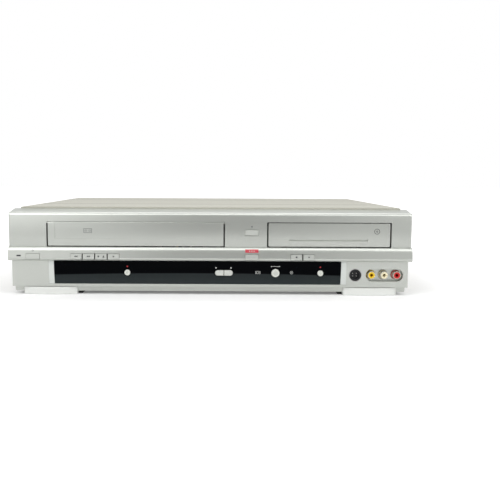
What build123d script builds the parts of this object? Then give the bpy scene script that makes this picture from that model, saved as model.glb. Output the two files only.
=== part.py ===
from build123d import *

import math
import os

# A full-width disc and tape deck. Millimetres. X runs to the right, the front faces -Y, Z is up.
# The origin is under the middle of the deck, on the surface that it stands on.

# ---------------------------------------------------------------- overall sizes
WIDTH = 435.0          # across the button band, the widest part
BODY_DEPTH = 354.0     # front of the button band to the back edge of the cover
SOCKET_REACH = 6.0     # the rear sockets stand this far out behind the cover
HEIGHT = 94.0          # table to the top of the cover

# ---------------------------------------------------------------- front bezel
UPPER_INSET = 0.5      # end of the band to the end of the upper face, each side
LOWER_INSET = 3.4      # the same for the lower face, which holds the window and the sockets
PLINTH_INSET = 5.9     # the same for the recessed strip above the table
PLINTH_BOTTOM = 3.5
PANEL_BOTTOM = 9.0     # lower edge of the lower face
BAND_BOTTOM = 37.0     # the button band's heights
BAND_LIP = 40.5
BAND_CREST = 46.4
BAND_TOP = 52.0
BAND_LEAN = 0.9        # the band leans out by this much from its crest to its lip
FACE_DROP = 5.2        # cover top down to the front edge of the bezel's top
JOINT_DROP = 1.7       # cover top down to the bezel's back edge
FACE_SETBACK = 4.0     # band front to the upper face
PANEL_SETBACK = 3.5    # band front to the lower face
PLINTH_SETBACK = 8.0
BEZEL_DEPTH = 27.0
WALL = 2.5             # moulded wall
EDGE_ROUND = 3.0       # along the top front edge
CORNER_ROUND = 1.5     # at the ends of the faces
SEAM = 0.8             # shadow line between the upper face and the band
RIM = 4.0              # the bezel's back rim turns inwards by this much past the cover's side
LIP_REACH = 5.0        # the bezel's lips run this far under the cover
LIP_WALL = 1.5
LEDGE = 1.2            # floor of the lower face, out over the plinth

# ---------------------------------------------------------------- door and tray front
DOOR_CENTRE = -80.3
DOOR_WIDTH = 189.0
DOOR_THICK = 1.8
TRAY_INSET = 89.4      # tray centre to the right end of the band
TRAY_FRONT_WIDTH = 130.8
TRAY_FRONT_THICK = 2.6
FACE_BOTTOM_GAP = 1.2  # below the door and the tray front
FACE_SIDE_GAP = 1.6
FACE_HEIGHT = 25.8     # door, hinge line included
FACE_TOP_GAP = 0.2
SILL_DROP = 0.2        # the openings start this far under the band's top
FRONT_CREASE = 60.7    # height of the crease across door, centre panel and tray front
RECESS = 0.5           # depth of the field above the crease
FIELD_MARGIN = 7.4     # ends of the door to its field
FIELD_EDGE = 2.0       # right end of the tray front to its field
HINGE_PIN = 0.6        # pin radius
PIN_PLAY = 0.05        # running clearance of pins and shafts, on the radius
GROOVE_REACH = (43.3, 41.6)      # finger groove, left and right of the tray centre
GROOVE_HEIGHT = 3.1
GROOVE_DEPTH = 1.4

# ---------------------------------------------------------------- window and sockets
WINDOW_INSET = (39.8, 67.0)      # ends of the lower face to the window's opening
WINDOW_BOTTOM = 11.8
WINDOW_BEND = 22.4     # the window folds back below this height
WINDOW_FOLD = 0.6
STRIP_WIDTH = 5.6
WINDOW_SLANT = 0.6
WINDOW_FLANGE = 1.2
FIT_GAP = 0.1          # between fixed mouldings
SVIDEO_INSET = 57.3    # this and the next three are from the right end of the lower face
SOCKET_Z = 22.4        # height of the front socket row
SVIDEO_RADIUS = 5.9
SVIDEO_BORE = 4.75
SVIDEO_FUNNEL = 7.25   # mouth radius of the hollow round it
SVIDEO_DEPTH = 5.0
PHONO_INSETS = (39.7, 26.0, 12.3)
PHONO_SLEEVE = 4.15
PHONO_HOLE = 1.7
PHONO_LENGTH = 8.0
PHONO_BASE = 11.0
PHONO_COLLAR = 5.0     # collar through the pocket's floor
COLLAR_PROUD = 0.2
POCKET_INSET = (46.0, 5.6)       # hollow that the phono jacks stand in
POCKET_HEIGHT = 13.7
POCKET_DEPTH = 7.5

# ---------------------------------------------------------------- buttons
BUTTON_PLAY = 0.3      # between a button and its hole
BUTTON_TRAVEL = 0.8
BUTTON_PROUD = 0.5
BUTTON_BOTTOM = 38.6   # buttons in the band
BUTTON_TOP = 44.7
BUTTON_STEP = 13.4     # pitch of the tape buttons
BUTTON_WIDTH = 12.1
BUTTON_FLANGE = 1.0
BUTTON_LEDGE = 1.0     # the flange stands out round the key by this much
STANDBY_INSET = (19.5, 34.3)     # left end of the band to the standby key
TAPE_KEYS_REACH = 69.8           # door centre to the first tape key
DISC_KEYS_REACH = 41.4           # tray centre to the first disc key
MIDDLE_KEYS_SHARE = 0.64         # place of the two middle keys between door and tray front
DUBBING_WIDTH = 14.4
OPEN_KEY_WIDTH = 14.6
OPEN_KEY_HEIGHT = (64.7, 70.7)
LAMP_INSET = (9.6, 14.0)
LAMP_HEIGHT = (41.7, 43.2)
WINDOW_KEYS_Z = 24.2
TAPE_RECORD_INSET = 84.9         # left end of the window's opening to the key
DISC_RECORD_INSET = 28.1         # this and the output key are from its right end
RECORD_RADIUS = 3.1
OUTPUT_INSET = 76.6
OUTPUT_RADIUS = 4.3
PROGRAM_X = 14.9
PROGRAM_LENGTH = 19.1
PROGRAM_HEIGHT = 5.8
PROGRAM_SPLIT = 0.3    # half the gap between the two programme keys
WINDOW_KEY_PROUD = 1.0
STEM = 3.0             # side of a key's stem

# ---------------------------------------------------------------- sheet metal and feet
COVER_INSET = 7.5      # end of the band to the cover's side
SHEET = 0.8
COVER_BOTTOM = 8.0
COVER_ROUND = 2.5
JOINT_GAP = 0.8        # dark line between bezel and cover
HEM = 2.3
REAR_LIP = 9.0
CREASES = (90.0, 234.0)          # pressed lines, behind the cover's front edge
CREASE_WIDTH = 2.6
CREASE_DEPTH = 0.45
PAN_SHEET = 1.0
PAN_SIDE = 15.0
REAR_SHEET = 1.0
FOOT_INSET = 38.6      # end of the plinth to a foot's middle
FOOT_WIDTH = 58.0
FOOT_HEIGHT = 8.4
FOOT_DEPTH = 27.0
FOOT_BOW = 3.5
REAR_FOOT_SIDE = 60.0  # cover's side to a rear foot
REAR_FOOT_INSET = 35.0
REAR_FOOT_RADIUS = 9.0
SCREW_HEAD = 4.0
SCREW_SHANK = 1.5
SCREW_HEAD_HEIGHT = 1.8
SCREW_HOLE = 1.7
SIDE_SCREW_INSET = 40.0          # front and back edges of the cover to its side screws
REAR_SCREW_INSET = 25.0
PAN_SLOTS = (10, 12.0, 4.0)      # cooling slots: number in a row, pitch, width
PAN_SLOT_ROWS = (-120.0, 70.0)   # first slot of each row
PAN_SLOT_REACH = (120.0, 75.0)   # slots' ends, from the cover's back edge
VENTS = (9, 6.0, 3.0)            # slots in the rear panel: number, pitch, width
VENTS_X = 75.0
VENTS_DROP = (45.0, 20.0)        # cover top down to the slots' ends
POST_INSET = 8.0       # decks' edges to the posts under them

# ---------------------------------------------------------------- boards
BOARD = 1.6
FRONT_BOARD_BACKSET = 20.0       # band front to the front board
FRONT_BOARD_TOP = 49.0
BOARD_LIFT = 8.0       # height of the rear boards over the pan
BOARD_GAP = 8.0        # decks to the rear boards
MAIN_BOARD = (12.0, 55.0)        # pan's side to the main board's left edge; its right edge
POWER_BOARD = (75.0, 8.0)        # power board's left edge; its right edge to the pan's side
SWITCH = 6.0           # side of a push switch
CHIPS = ((-20, 35, 28, 3.0), (25, 35, 18, 2.5), (-120, 30, 22, 2.5))     # x, inset, side, height
CANS = (4, -70.0, 12.0)          # small capacitors: number, first x, pitch
CAN_SIZE = (4.0, 12.0)           # radius and height
TRANSFORMER = (34.0, 30.0, 28.0)
RESERVOIR = (11.0, 32.0)         # large capacitor: radius and height
FINS = (5, 4.0, 1.5, 26.0)       # heat sink: number, pitch, thickness, height

# ---------------------------------------------------------------- rear sockets
AERIAL_RADIUS = 4.75
AERIAL_X = 32.2        # main board's left edge to the aerial sockets
AERIAL_HEIGHTS = (14.0, 34.0)    # over the boards, as are the next ones
TUNER = (22.0, 62.0, 12.0)       # can: width, depth, height over the upper socket
SCART_X = -95.0
SCART_HEIGHTS = (10.0, 34.0)
SCART_BODY = (55.0, 17.0)
SCART_MOUTH = (47.0, 11.0)
SCART_SKEW = 3.0
SCART_DEPTH = 10.0
REAR_PHONO = (-30.0, 15.0)       # first column and pitch
REAR_PHONO_HEIGHTS = (12.0, 28.0)
MAINS_X = 31.2         # power board's right edge to the inlet
MAINS_HEIGHT = 12.0
MAINS_BODY = (24.0, 16.0)
MAINS_MOUTH = (15.6, 8.4)
MAINS_DEPTH = 13.0
MAINS_PIN = (1.2, 4.3, 11.0)     # radius, place from the middle, length
BOSS = 0.85            # a round socket's boss stands out round its sleeve

# ---------------------------------------------------------------- tape deck
CASSETTE = (188.0, 104.0, 25.0)  # the standard tape cassette that the deck takes
HOLDER_PLAY = 1.0      # between cassette and holder, each side
HOLDER_SHEET = 1.0
HOLDER_DEPTH = 40.0
HOLDER_FRONT = 31.0    # band front to the holder, out of the door's swing
HOLDER_TRAVEL = 48.0
CARRIAGE_SHEET = 1.5
CARRIAGE_PIN = 1.5
CARRIAGE_DROP = 14.0
CARRIAGE_GAP = 1.0     # holder to the carriage's plates and to its bridge
CARRIAGE_BRIDGE = 18.0           # depth of the bridge
DECK_Z = 27.0
DECK_SHEET = 1.5
DECK_BACK = 205.0      # deck plate's back edge behind the band front
DRUM_BACK = 158.0      # drum centre behind the band front
DRUM_RADIUS = 31.0
DRUM_LOWER = 16.0
DRUM_UPPER = 15.0
DRUM_TILT = 5.0
DRUM_SHAFT = 2.5
DRUM_GAP = 0.3
REEL_SPACING = 92.0
REEL_BACK = 49.0
REEL_RADIUS = 17.0
REEL_HEIGHT = 17.0
POST_ORBIT = 44.0
POST_START = 22.0      # degrees either side of straight ahead, at rest
POST_SWING = 85.0
POST_RADIUS = 3.0
POST_HEIGHT = 19.0
CAPSTAN_OFFSET = (38.3, -42.0)   # from the drum
CAPSTAN_RADIUS = 1.5
BEARING_HEIGHT = 2.5   # capstan bearing over the plate, below the pinch roller
FLYWHEEL_RADIUS = 23.0
FLYWHEEL_THICK = 5.0
FLYWHEEL_DROP = 3.0    # deck plate's underside to the flywheel
PINCH_OFFSET = (66.3, -20.0)     # arm pivot from the drum
PINCH_RADIUS = 7.0
PINCH_ANGLE = 20.0     # the roller meets the capstan at this bearing
PINCH_SWING = 40.0
PINCH_PIVOT = 2.0      # pivot pin's radius
PINCH_HEIGHT = 15.0
HEAD_BEARINGS = (188.0, -8.0)    # erase head, sound head
HEAD_ORBIT = 57.0
HEAD_HEIGHT = 19.0
LOADER = (10.0, 30.0)  # loading motor: radius and length
TRAY_MOTOR = (8.0, 11.5)         # radius and height

# ---------------------------------------------------------------- disc drive
DRIVE_FLOOR = 42.0
DRIVE_WALL = 2.5
DRIVE_REAR_GAP = 2.0   # tray to the frame's back wall
DRIVE_TOP = 77.0
TRAY_WIDTH = 128.0
TRAY_THICK = 6.0
TRAY_LENGTH = 178.0
TRAY_Z = 58.0          # underside of the tray
TRAY_PLAY = 0.2
DISC_CENTRE_BACK = 70.0
DISC_RECESS = 60.8     # radius for the full-size disc
SMALL_RECESS = 40.8
RECESS_STEP = 1.3
SCALLOP = 11.0         # radius of the finger hollows beside the small recess
SLOT_WIDTH = 44.0
SLOT_LENGTH = 70.0     # disc centre to the slot's back end
RACK_MODULE = 1.0
PINION_TEETH = 16
RACK_INSET = 7.4       # tray's left edge to the rack's pitch line
PINION_BACK = 38.5
PULLEY_RADIUS = 13.0
MOTOR_PULLEY = 3.0
MOTOR_OFFSET = (34.0, -1.0)      # tray gear to its motor
BELT = 1.6
LIFT_BACK = 165.0      # traverse hinge behind the band front
TRAVERSE_WIDTH = 76.0
TRAVERSE_Z = 47.0
TRAVERSE_SHEET = 1.5
HINGE_PIN_RADIUS = 2.0
ROD_RADIUS = 1.5       # the pick-up's slide rods
ROD_LIFT = 2.0         # traverse plate to the rods' axes
ROD_OFFSET = 18.0      # rods' axes to the middle
GUIDE_RIB = 3.2        # the tray's guide ribs reach this far in
TURNTABLE_RADIUS = 14.0
SLED_LENGTH = 26.0
LENS_RADIUS = 3.0
CLAMP_GAP = 1.6        # tray to clamper
BRIDGE_WIDTH = 40.0
BRIDGE_SHEET = 1.2

# ---------------------------------------------------------------- places worked out from the sizes
Y_FRONT = -(BODY_DEPTH + SOCKET_REACH) / 2
Y_BACK = Y_FRONT + BODY_DEPTH
Y_FACE = Y_FRONT + FACE_SETBACK
Y_PANEL = Y_FRONT + PANEL_SETBACK
Y_PLINTH = Y_FRONT + PLINTH_SETBACK
Y_INSIDE = Y_FACE + WALL
Y_JOINT = Y_FRONT + BEZEL_DEPTH
Y_COVER = Y_JOINT + JOINT_GAP
FACE_TOP = HEIGHT - FACE_DROP
JOINT_TOP = HEIGHT - JOINT_DROP
UPPER_WIDTH = WIDTH - 2 * UPPER_INSET
LOWER_WIDTH = WIDTH - 2 * LOWER_INSET
PLINTH_WIDTH = WIDTH - 2 * PLINTH_INSET
COVER_WIDTH = WIDTH - 2 * COVER_INSET
BAND_END = WIDTH / 2
PANEL_END = LOWER_WIDTH / 2
INSIDE_COVER = COVER_WIDTH / 2 - SHEET
TRAY_CENTRE = BAND_END - TRAY_INSET
TRAY_GROOVE = (TRAY_CENTRE - GROOVE_REACH[0], TRAY_CENTRE + GROOVE_REACH[1])
DOOR_SIDE = DOOR_CENTRE + DOOR_WIDTH / 2 + FACE_SIDE_GAP
TRAY_SIDE = TRAY_CENTRE - TRAY_FRONT_WIDTH / 2 - FACE_SIDE_GAP
WINDOW_LEFT = WINDOW_INSET[0] - PANEL_END
WINDOW_RIGHT = PANEL_END - WINDOW_INSET[1]
SVIDEO_X = PANEL_END - SVIDEO_INSET
PHONO_X = [PANEL_END - inset for inset in PHONO_INSETS]
POCKET = [PANEL_END - inset for inset in POCKET_INSET]
POCKET_CENTRE = sum(POCKET) / 2
POCKET_WIDTH = POCKET[1] - POCKET[0]
STANDBY_KEY = [inset - BAND_END for inset in STANDBY_INSET]
LAMP = [inset - BAND_END for inset in LAMP_INSET]
TAPE_KEYS_LEFT = DOOR_CENTRE - TAPE_KEYS_REACH
DISC_KEYS_LEFT = TRAY_CENTRE - DISC_KEYS_REACH
MIDDLE_KEYS_X = DOOR_SIDE + MIDDLE_KEYS_SHARE * (TRAY_SIDE - DOOR_SIDE)
TAPE_RECORD_X = WINDOW_LEFT + TAPE_RECORD_INSET
DISC_RECORD_X = WINDOW_RIGHT - DISC_RECORD_INSET
OUTPUT_X = WINDOW_RIGHT - OUTPUT_INSET
FOOT_X = PLINTH_WIDTH / 2 - FOOT_INSET
REAR_FOOT_X = COVER_WIDTH / 2 - REAR_FOOT_SIDE
OPENING = (BAND_TOP - SILL_DROP, BAND_TOP - SILL_DROP + FACE_BOTTOM_GAP + FACE_HEIGHT + FACE_TOP_GAP)
DOOR_LOW = OPENING[0] + FACE_BOTTOM_GAP
DOOR_HIGH = DOOR_LOW + FACE_HEIGHT
PAN_Z = PANEL_BOTTOM
PAN_TOP = PAN_Z + PAN_SHEET
Y_BOARD = Y_FRONT + FRONT_BOARD_BACKSET
POCKET_FLOOR = Y_PANEL + POCKET_DEPTH
BOARD_TOP = PAN_TOP + BOARD_LIFT + BOARD
Y_REAR_PANEL = Y_BACK - SHEET - REAR_SHEET       # inner face of the rear panel
DECK_TOP = DECK_Z + DECK_SHEET
DRUM_Y = Y_FRONT + DRUM_BACK
REEL_Y = Y_FRONT + REEL_BACK
DISC_Y = Y_FRONT + DISC_CENTRE_BACK
TRAY_TOP = TRAY_Z + TRAY_THICK
DRIVE_FLOOR_TOP = DRIVE_FLOOR + DRIVE_WALL
PINION_Y = Y_FRONT + PINION_BACK
PITCH_RADIUS = RACK_MODULE * PINION_TEETH / 2


# ---------------------------------------------------------------- helpers
def block(x, y, z):
    """A box between three (low, high) pairs."""
    size = [pair[1] - pair[0] for pair in (x, y, z)]
    middle = [(pair[1] + pair[0]) / 2 for pair in (x, y, z)]
    return Pos(*middle) * Box(*size)


def around(centre, width):
    """The (low, high) pair of a width about its middle."""
    return (centre - width / 2, centre + width / 2)


def grown(pair, margin):
    """A (low, high) pair with a margin added at both ends."""
    return (pair[0] - margin, pair[1] + margin)


def standing_cylinder(radius, height):
    """A cylinder whose base lies at the origin."""
    return Cylinder(radius, height, align=(Align.CENTER, Align.CENTER, Align.MIN))


def standing_cone(low, high, height):
    """A cone with its lower and upper radius, whose base lies at the origin."""
    return Cone(low, high, height, align=(Align.CENTER, Align.CENTER, Align.MIN))


def bar(radius, start, direction, length):
    """A round bar from a start point along a direction."""
    place = Plane(origin=start, z_dir=direction)
    return place * standing_cylinder(radius, length)


def upright(radius, x, y, z):
    """A vertical round bar between two heights."""
    return bar(radius, (x, y, z[0]), (0, 0, 1), z[1] - z[0])


def across(outline, x):
    """A section in Y and Z, extruded between two X values."""
    return extrude(Plane.YZ.offset(x[0]) * outline, amount=x[1] - x[0])


def forwards(outline, y):
    """An outline in X and Z, extruded from y[1] at the back to y[0] at the front."""
    back = Plane(origin=(0, y[1], 0), x_dir=(1, 0, 0), z_dir=(0, -1, 0))
    return extrude(back * outline, amount=y[1] - y[0])


def polygon(*points):
    """A face with straight sides."""
    return make_face(Polyline(*points, close=True).edges())


def capsule(centre_x, centre_z, length, height):
    """A slot outline with round ends."""
    return Pos(centre_x, centre_z) * SlotOverall(length, height)


def involute(angle):
    """The involute function of a pressure angle in radians."""
    return math.tan(angle) - angle


def gear_outline(teeth, module, backlash=0.12):
    """A spur gear with 20 degree teeth; one tooth points along +X."""
    pitch = module * teeth / 2
    base = pitch * math.cos(math.radians(20))
    tip, root = pitch + 0.9 * module, pitch - 1.2 * module
    half = math.pi / (2 * teeth) - backlash / (2 * pitch)
    flank = []
    for radius in (root, base, pitch, tip):
        turn = involute(math.acos(min(1, base / radius)))
        flank.append((radius, half + involute(math.radians(20)) - turn))
    points = []
    for tooth in range(teeth):
        middle = 2 * math.pi * tooth / teeth
        for side, run in ((-1, flank), (1, flank[::-1])):
            for radius, offset in run:
                angle = middle + side * offset
                points.append((radius * math.cos(angle), radius * math.sin(angle)))
    return polygon(*points)


# ---------------------------------------------------------------- bezel
def band_body(inner=None):
    """The button band: rounded on top, leaning out to its lip, turned under below."""
    back = Y_JOINT if inner is None else inner
    crest = (Y_FRONT + BAND_LEAN, BAND_CREST)
    lip = (Y_FRONT, BAND_LIP)
    shoulder, heel = (Y_FACE, BAND_TOP), (Y_PANEL, BAND_BOTTOM)
    edges = [
        TangentArc(crest, shoulder, tangent=(0, 1)),
        Line(crest, lip),
        TangentArc(lip, heel, tangent=(lip[0] - crest[0], lip[1] - crest[1])),
        Line(heel, (back, BAND_BOTTOM)),
        Line((back, BAND_BOTTOM), (back, BAND_TOP)),
        Line((back, BAND_TOP), shoulder),
    ]
    return across(make_face(edges), around(0, WIDTH))


def upper_section(inset=0.0):
    """Section of the bezel above the band, or of its hollow."""
    front, top = Y_FACE + inset, FACE_TOP - inset
    back, back_top = Y_JOINT, JOINT_TOP - inset
    section = polygon((back, BAND_BOTTOM), (front, BAND_BOTTOM), (front, top), (back, back_top))
    corner = [v for v in section.vertices() if abs(v.X - front) < 0.01 and v.Y > BAND_TOP]
    return fillet(corner, max(EDGE_ROUND - inset, 0.4))


def key_spans():
    """Each band button's name with its (low, high) place in X."""
    spans = {"standby_button": STANDBY_KEY}
    for index, name in enumerate(("rewind", "fast_forward", "stop_eject", "play")):
        left = TAPE_KEYS_LEFT + index * BUTTON_STEP
        spans[name + "_button"] = (left, left + BUTTON_WIDTH)
    spans["dubbing_button"] = around(MIDDLE_KEYS_X, DUBBING_WIDTH)
    for index, name in enumerate(("disc_stop", "disc_play")):
        left = DISC_KEYS_LEFT + index * BUTTON_STEP
        spans[name + "_button"] = (left, left + BUTTON_WIDTH)
    return spans


def face_opening(centre, width):
    """Round-cornered cutter for the cassette door or the tray front."""
    x = around(centre, width + 2 * FACE_SIDE_GAP)
    cutter = block(x, (Y_FRONT - 1, Y_INSIDE + 1), OPENING)
    return fillet(cutter.edges().filter_by(Axis.Y), 1.0)


def front_bezel():
    spans = key_spans()
    upper = across(upper_section(), around(0, UPPER_WIDTH))
    ends = upper.edges().filter_by(Axis.Z).group_by(Axis.Y)[0]
    upper = fillet(ends, CORNER_ROUND)
    upper -= block(around(0, WIDTH), (Y_FACE - 1, Y_FACE + SEAM), (BAND_TOP, BAND_TOP + SEAM))
    lower = block(around(0, LOWER_WIDTH), (Y_PANEL, Y_JOINT), (PANEL_BOTTOM, BAND_BOTTOM + 1))
    lower = fillet(lower.edges().filter_by(Axis.Z).group_by(Axis.Y)[0], CORNER_ROUND)
    plinth = block(around(0, PLINTH_WIDTH), (Y_PLINTH, Y_JOINT), (PLINTH_BOTTOM, PANEL_BOTTOM + 1))
    plinth = fillet(plinth.edges().filter_by(Axis.Y).group_by(Axis.Z)[0], CORNER_ROUND)
    body = upper + band_body() + lower + plinth
    # the hollow behind the faces, open at the back inside a turned-in rim
    hollow_back = Y_JOINT - WALL
    floor = PLINTH_BOTTOM + WALL
    body -= across(upper_section(WALL), around(0, UPPER_WIDTH - 2 * WALL)) & block(
        around(0, WIDTH), (Y_FRONT, hollow_back), (BAND_BOTTOM, HEIGHT)
    )
    ledge = PANEL_BOTTOM + LEDGE
    body -= block(around(0, LOWER_WIDTH - 2 * WALL), (Y_INSIDE, hollow_back), (ledge, BAND_BOTTOM + 1))
    body -= block(around(0, PLINTH_WIDTH - 2 * WALL), (Y_PLINTH + WALL, hollow_back), (floor, ledge + 1))
    mouth = INSIDE_COVER - RIM
    body -= block((-mouth, mouth), (hollow_back - 1, Y_JOINT + 1), (PAN_Z, JOINT_TOP - WALL))
    body += bezel_lips(mouth)
    # openings
    body -= face_opening(DOOR_CENTRE, DOOR_WIDTH)
    body -= face_opening(TRAY_CENTRE, TRAY_FRONT_WIDTH)
    body -= hinge_holes()
    body -= centre_field()
    body -= block((WINDOW_LEFT, WINDOW_RIGHT), (Y_PANEL - 1, Y_INSIDE), (WINDOW_BOTTOM, BAND_BOTTOM))
    body -= block((WINDOW_LEFT, WINDOW_RIGHT), (Y_PANEL, Y_INSIDE + 1), (WINDOW_BOTTOM, BAND_BOTTOM))
    body += bezel_boss()
    body -= socket_holes()
    body -= key_holes(spans)
    body -= block(LAMP, (Y_FRONT - 1, Y_INSIDE + 1), LAMP_HEIGHT)
    for x, z in board_posts():
        body += bar(2.0, (x, Y_INSIDE - 0.5, z), (0, 1, 0), Y_BOARD - Y_INSIDE + 0.5)
    return body


def socket_holes():
    """The phono jacks' pocket with a hole for each, and the video socket's funnel."""
    pocket = capsule(POCKET_CENTRE, SOCKET_Z, POCKET_WIDTH, POCKET_HEIGHT)
    holes = forwards(pocket, (Y_PANEL - 1, POCKET_FLOOR))
    for x in PHONO_X:
        start = (x, Y_PANEL, SOCKET_Z)
        holes += bar(PHONO_COLLAR + BUTTON_PLAY, start, (0, 1, 0), POCKET_DEPTH + WALL + 1)
    mouth = Plane(origin=(SVIDEO_X, Y_INSIDE, SOCKET_Z), z_dir=(0, -1, 0))
    return holes + mouth * standing_cone(SVIDEO_RADIUS + BUTTON_PLAY, SVIDEO_FUNNEL, Y_INSIDE - Y_PANEL)


def key_holes(spans):
    """Holes of the band's keys, where neighbours share one, and of the open/close key."""
    groups = (
        spans["standby_button"],
        (spans["rewind_button"][0], spans["play_button"][1]),
        spans["dubbing_button"],
        (spans["disc_stop_button"][0], spans["disc_play_button"][1]),
    )
    z = grown((BUTTON_BOTTOM, BUTTON_TOP), BUTTON_PLAY)
    holes = Part()
    for span in groups:
        holes += block(grown(span, BUTTON_PLAY), (Y_FRONT - 1, Y_INSIDE + 1), z)
    open_key = grown(around(MIDDLE_KEYS_X, OPEN_KEY_WIDTH), BUTTON_PLAY)
    return holes + block(open_key, (Y_FACE - 1, Y_INSIDE + 1), grown(OPEN_KEY_HEIGHT, BUTTON_PLAY))


def bezel_lips(mouth):
    """Lips on the bezel's back edge that the cover and its sides slide over."""
    top = HEIGHT - HEM
    lips = block((-mouth, mouth), (Y_JOINT - WALL, Y_JOINT + LIP_REACH), (JOINT_TOP - WALL, top))
    for side in (-1, 1):
        wall = sorted((side * (INSIDE_COVER - FIT_GAP), side * (INSIDE_COVER - FIT_GAP - LIP_WALL)))
        side_top = (HEIGHT + BAND_BOTTOM) / 2
        lips += block(wall, (Y_JOINT - WALL, Y_JOINT + LIP_REACH), (BAND_BOTTOM, side_top))
    return lips


def hinge_axis():
    """Height and depth of the cassette door's pins."""
    return Y_FACE + DOOR_THICK / 2, DOOR_HIGH - DOOR_THICK / 2


def hinge_holes():
    """Blind holes in the ends of the door opening."""
    y, z = hinge_axis()
    length = DOOR_WIDTH + 2 * FACE_SIDE_GAP + 2 * WALL
    return bar(HINGE_PIN + PIN_PLAY, (DOOR_CENTRE - length / 2, y, z), (1, 0, 0), length)


def centre_field():
    """The shallow field between door and tray front, above the crease."""
    return block((DOOR_SIDE, TRAY_SIDE), (Y_FACE - 1, Y_FACE + RECESS / 2), (FRONT_CREASE, OPENING[1]))


def bezel_boss():
    """Wall behind the sockets' pocket."""
    wall = 2 * LIP_WALL
    outline = capsule(POCKET_CENTRE, SOCKET_Z, POCKET_WIDTH + wall, POCKET_HEIGHT + wall)
    return forwards(outline, (Y_PANEL + 1, POCKET_FLOOR + LIP_WALL))


def board_posts():
    """Where the bezel's posts hold the front board, in X and Z."""
    left = 24 - PANEL_END
    right = POCKET[1] - 2.5
    posts = [(left, PANEL_BOTTOM + 4), (left, BAND_BOTTOM - 4.5)]
    return posts + [(right, PANEL_BOTTOM + 3), (right, BAND_BOTTOM - 3.5)]


# ---------------------------------------------------------------- door, window and trims
def cassette_door():
    y, z = hinge_axis()
    x = around(DOOR_CENTRE, DOOR_WIDTH)
    plate = block(x, (Y_FACE, Y_FACE + DOOR_THICK), (DOOR_LOW, z))
    plate = fillet(plate.edges().filter_by(Axis.Y).group_by(Axis.Z)[0], 1.0)
    roll = bar(DOOR_THICK / 2, (x[0], y, z), (1, 0, 0), DOOR_WIDTH)
    reach = FACE_SIDE_GAP + WALL - FIT_GAP
    pins = bar(HINGE_PIN, (x[0] - reach, y, z), (1, 0, 0), DOOR_WIDTH + 2 * reach)
    field = block(grown(x, -FIELD_MARGIN), (Y_FACE - 1, Y_FACE + RECESS), (FRONT_CREASE, z + 0.2))
    return plate + roll + pins - field


def window_outline():
    """The dark window seen from the front; its ends slant inwards a little."""
    left, right = WINDOW_LEFT + STRIP_WIDTH, WINDOW_RIGHT - STRIP_WIDTH
    top, low = BAND_BOTTOM - FIT_GAP, WINDOW_BOTTOM + FIT_GAP
    return polygon((left, top), (right, top), (right - WINDOW_SLANT, low), (left + WINDOW_SLANT, low))


def window_holes():
    """Holes of the buttons in the window."""
    y = (Y_PANEL - 2, Y_INSIDE + WINDOW_FLANGE + 1)
    play = 2 * BUTTON_PLAY
    holes = forwards(capsule(PROGRAM_X, WINDOW_KEYS_Z, PROGRAM_LENGTH + play, PROGRAM_HEIGHT + play), y)
    for x, radius in round_keys().values():
        holes += bar(radius + BUTTON_PLAY, (x, y[0], WINDOW_KEYS_Z), (0, 1, 0), y[1] - y[0])
    return holes


def round_keys():
    """Each round key's name with its place in X and its radius."""
    return {
        "tape_record_button": (TAPE_RECORD_X, RECORD_RADIUS),
        "disc_record_button": (DISC_RECORD_X, RECORD_RADIUS),
        "output_select_button": (OUTPUT_X, OUTPUT_RADIUS),
    }


def display_window():
    front = Y_PANEL + 0.3
    plate = forwards(window_outline(), (front, Y_INSIDE))
    fold = polygon(
        (front - 1, WINDOW_BEND), (front, WINDOW_BEND),
        (front + WINDOW_FOLD, WINDOW_BOTTOM), (front - 1, WINDOW_BOTTOM),
    )
    plate -= across(fold, (WINDOW_LEFT, WINDOW_RIGHT))
    rim = LIP_WALL
    flange = block(
        (WINDOW_LEFT - rim, WINDOW_RIGHT + rim),
        (Y_INSIDE, Y_INSIDE + WINDOW_FLANGE),
        (WINDOW_BOTTOM - rim, BUTTON_BOTTOM - BUTTON_LEDGE - BUTTON_PLAY),
    )
    return plate + flange - window_holes()


def window_strips():
    """The bright upright strips that close the window's ends."""
    front, bulge = Y_PANEL - 0.1, 0.5
    section = make_face([
        Line((Y_INSIDE, WINDOW_BOTTOM + FIT_GAP), (front + bulge, WINDOW_BOTTOM + FIT_GAP)),
        ThreePointArc(
            (front + bulge, WINDOW_BOTTOM + FIT_GAP),
            (front - bulge / 2, (WINDOW_BOTTOM + BAND_BOTTOM) / 2),
            (front + bulge / 2, BAND_BOTTOM - FIT_GAP),
        ),
        Line((front + bulge / 2, BAND_BOTTOM - FIT_GAP), (Y_INSIDE, BAND_BOTTOM - FIT_GAP)),
        Line((Y_INSIDE, BAND_BOTTOM - FIT_GAP), (Y_INSIDE, WINDOW_BOTTOM + FIT_GAP)),
    ])
    gap = forwards(offset(window_outline(), FIT_GAP, kind=Kind.INTERSECTION), (Y_PANEL - 3, Y_INSIDE + 1))
    strips = across(section, (WINDOW_LEFT + FIT_GAP, WINDOW_LEFT + STRIP_WIDTH + WINDOW_SLANT))
    strips += across(section, (WINDOW_RIGHT - STRIP_WIDTH - WINDOW_SLANT, WINDOW_RIGHT - FIT_GAP))
    return strips - gap


def standby_lamp():
    """A small lens, held from behind by its own flange."""
    z = LAMP_HEIGHT
    lens = block(grown(LAMP, -0.05), (Y_FRONT, Y_INSIDE), grown(z, -0.05))
    flange = block(grown(LAMP, 1), (Y_INSIDE, Y_INSIDE + 1), grown(z, 1))
    return lens + flange


# ---------------------------------------------------------------- buttons
def stem(x, z, start):
    """Square stem from a button's flange towards its switch."""
    tip = Y_BOARD - SWITCH + 0.2 - BUTTON_TRAVEL
    return block(around(x, STEM), (start, tip), around(z, STEM))


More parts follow.
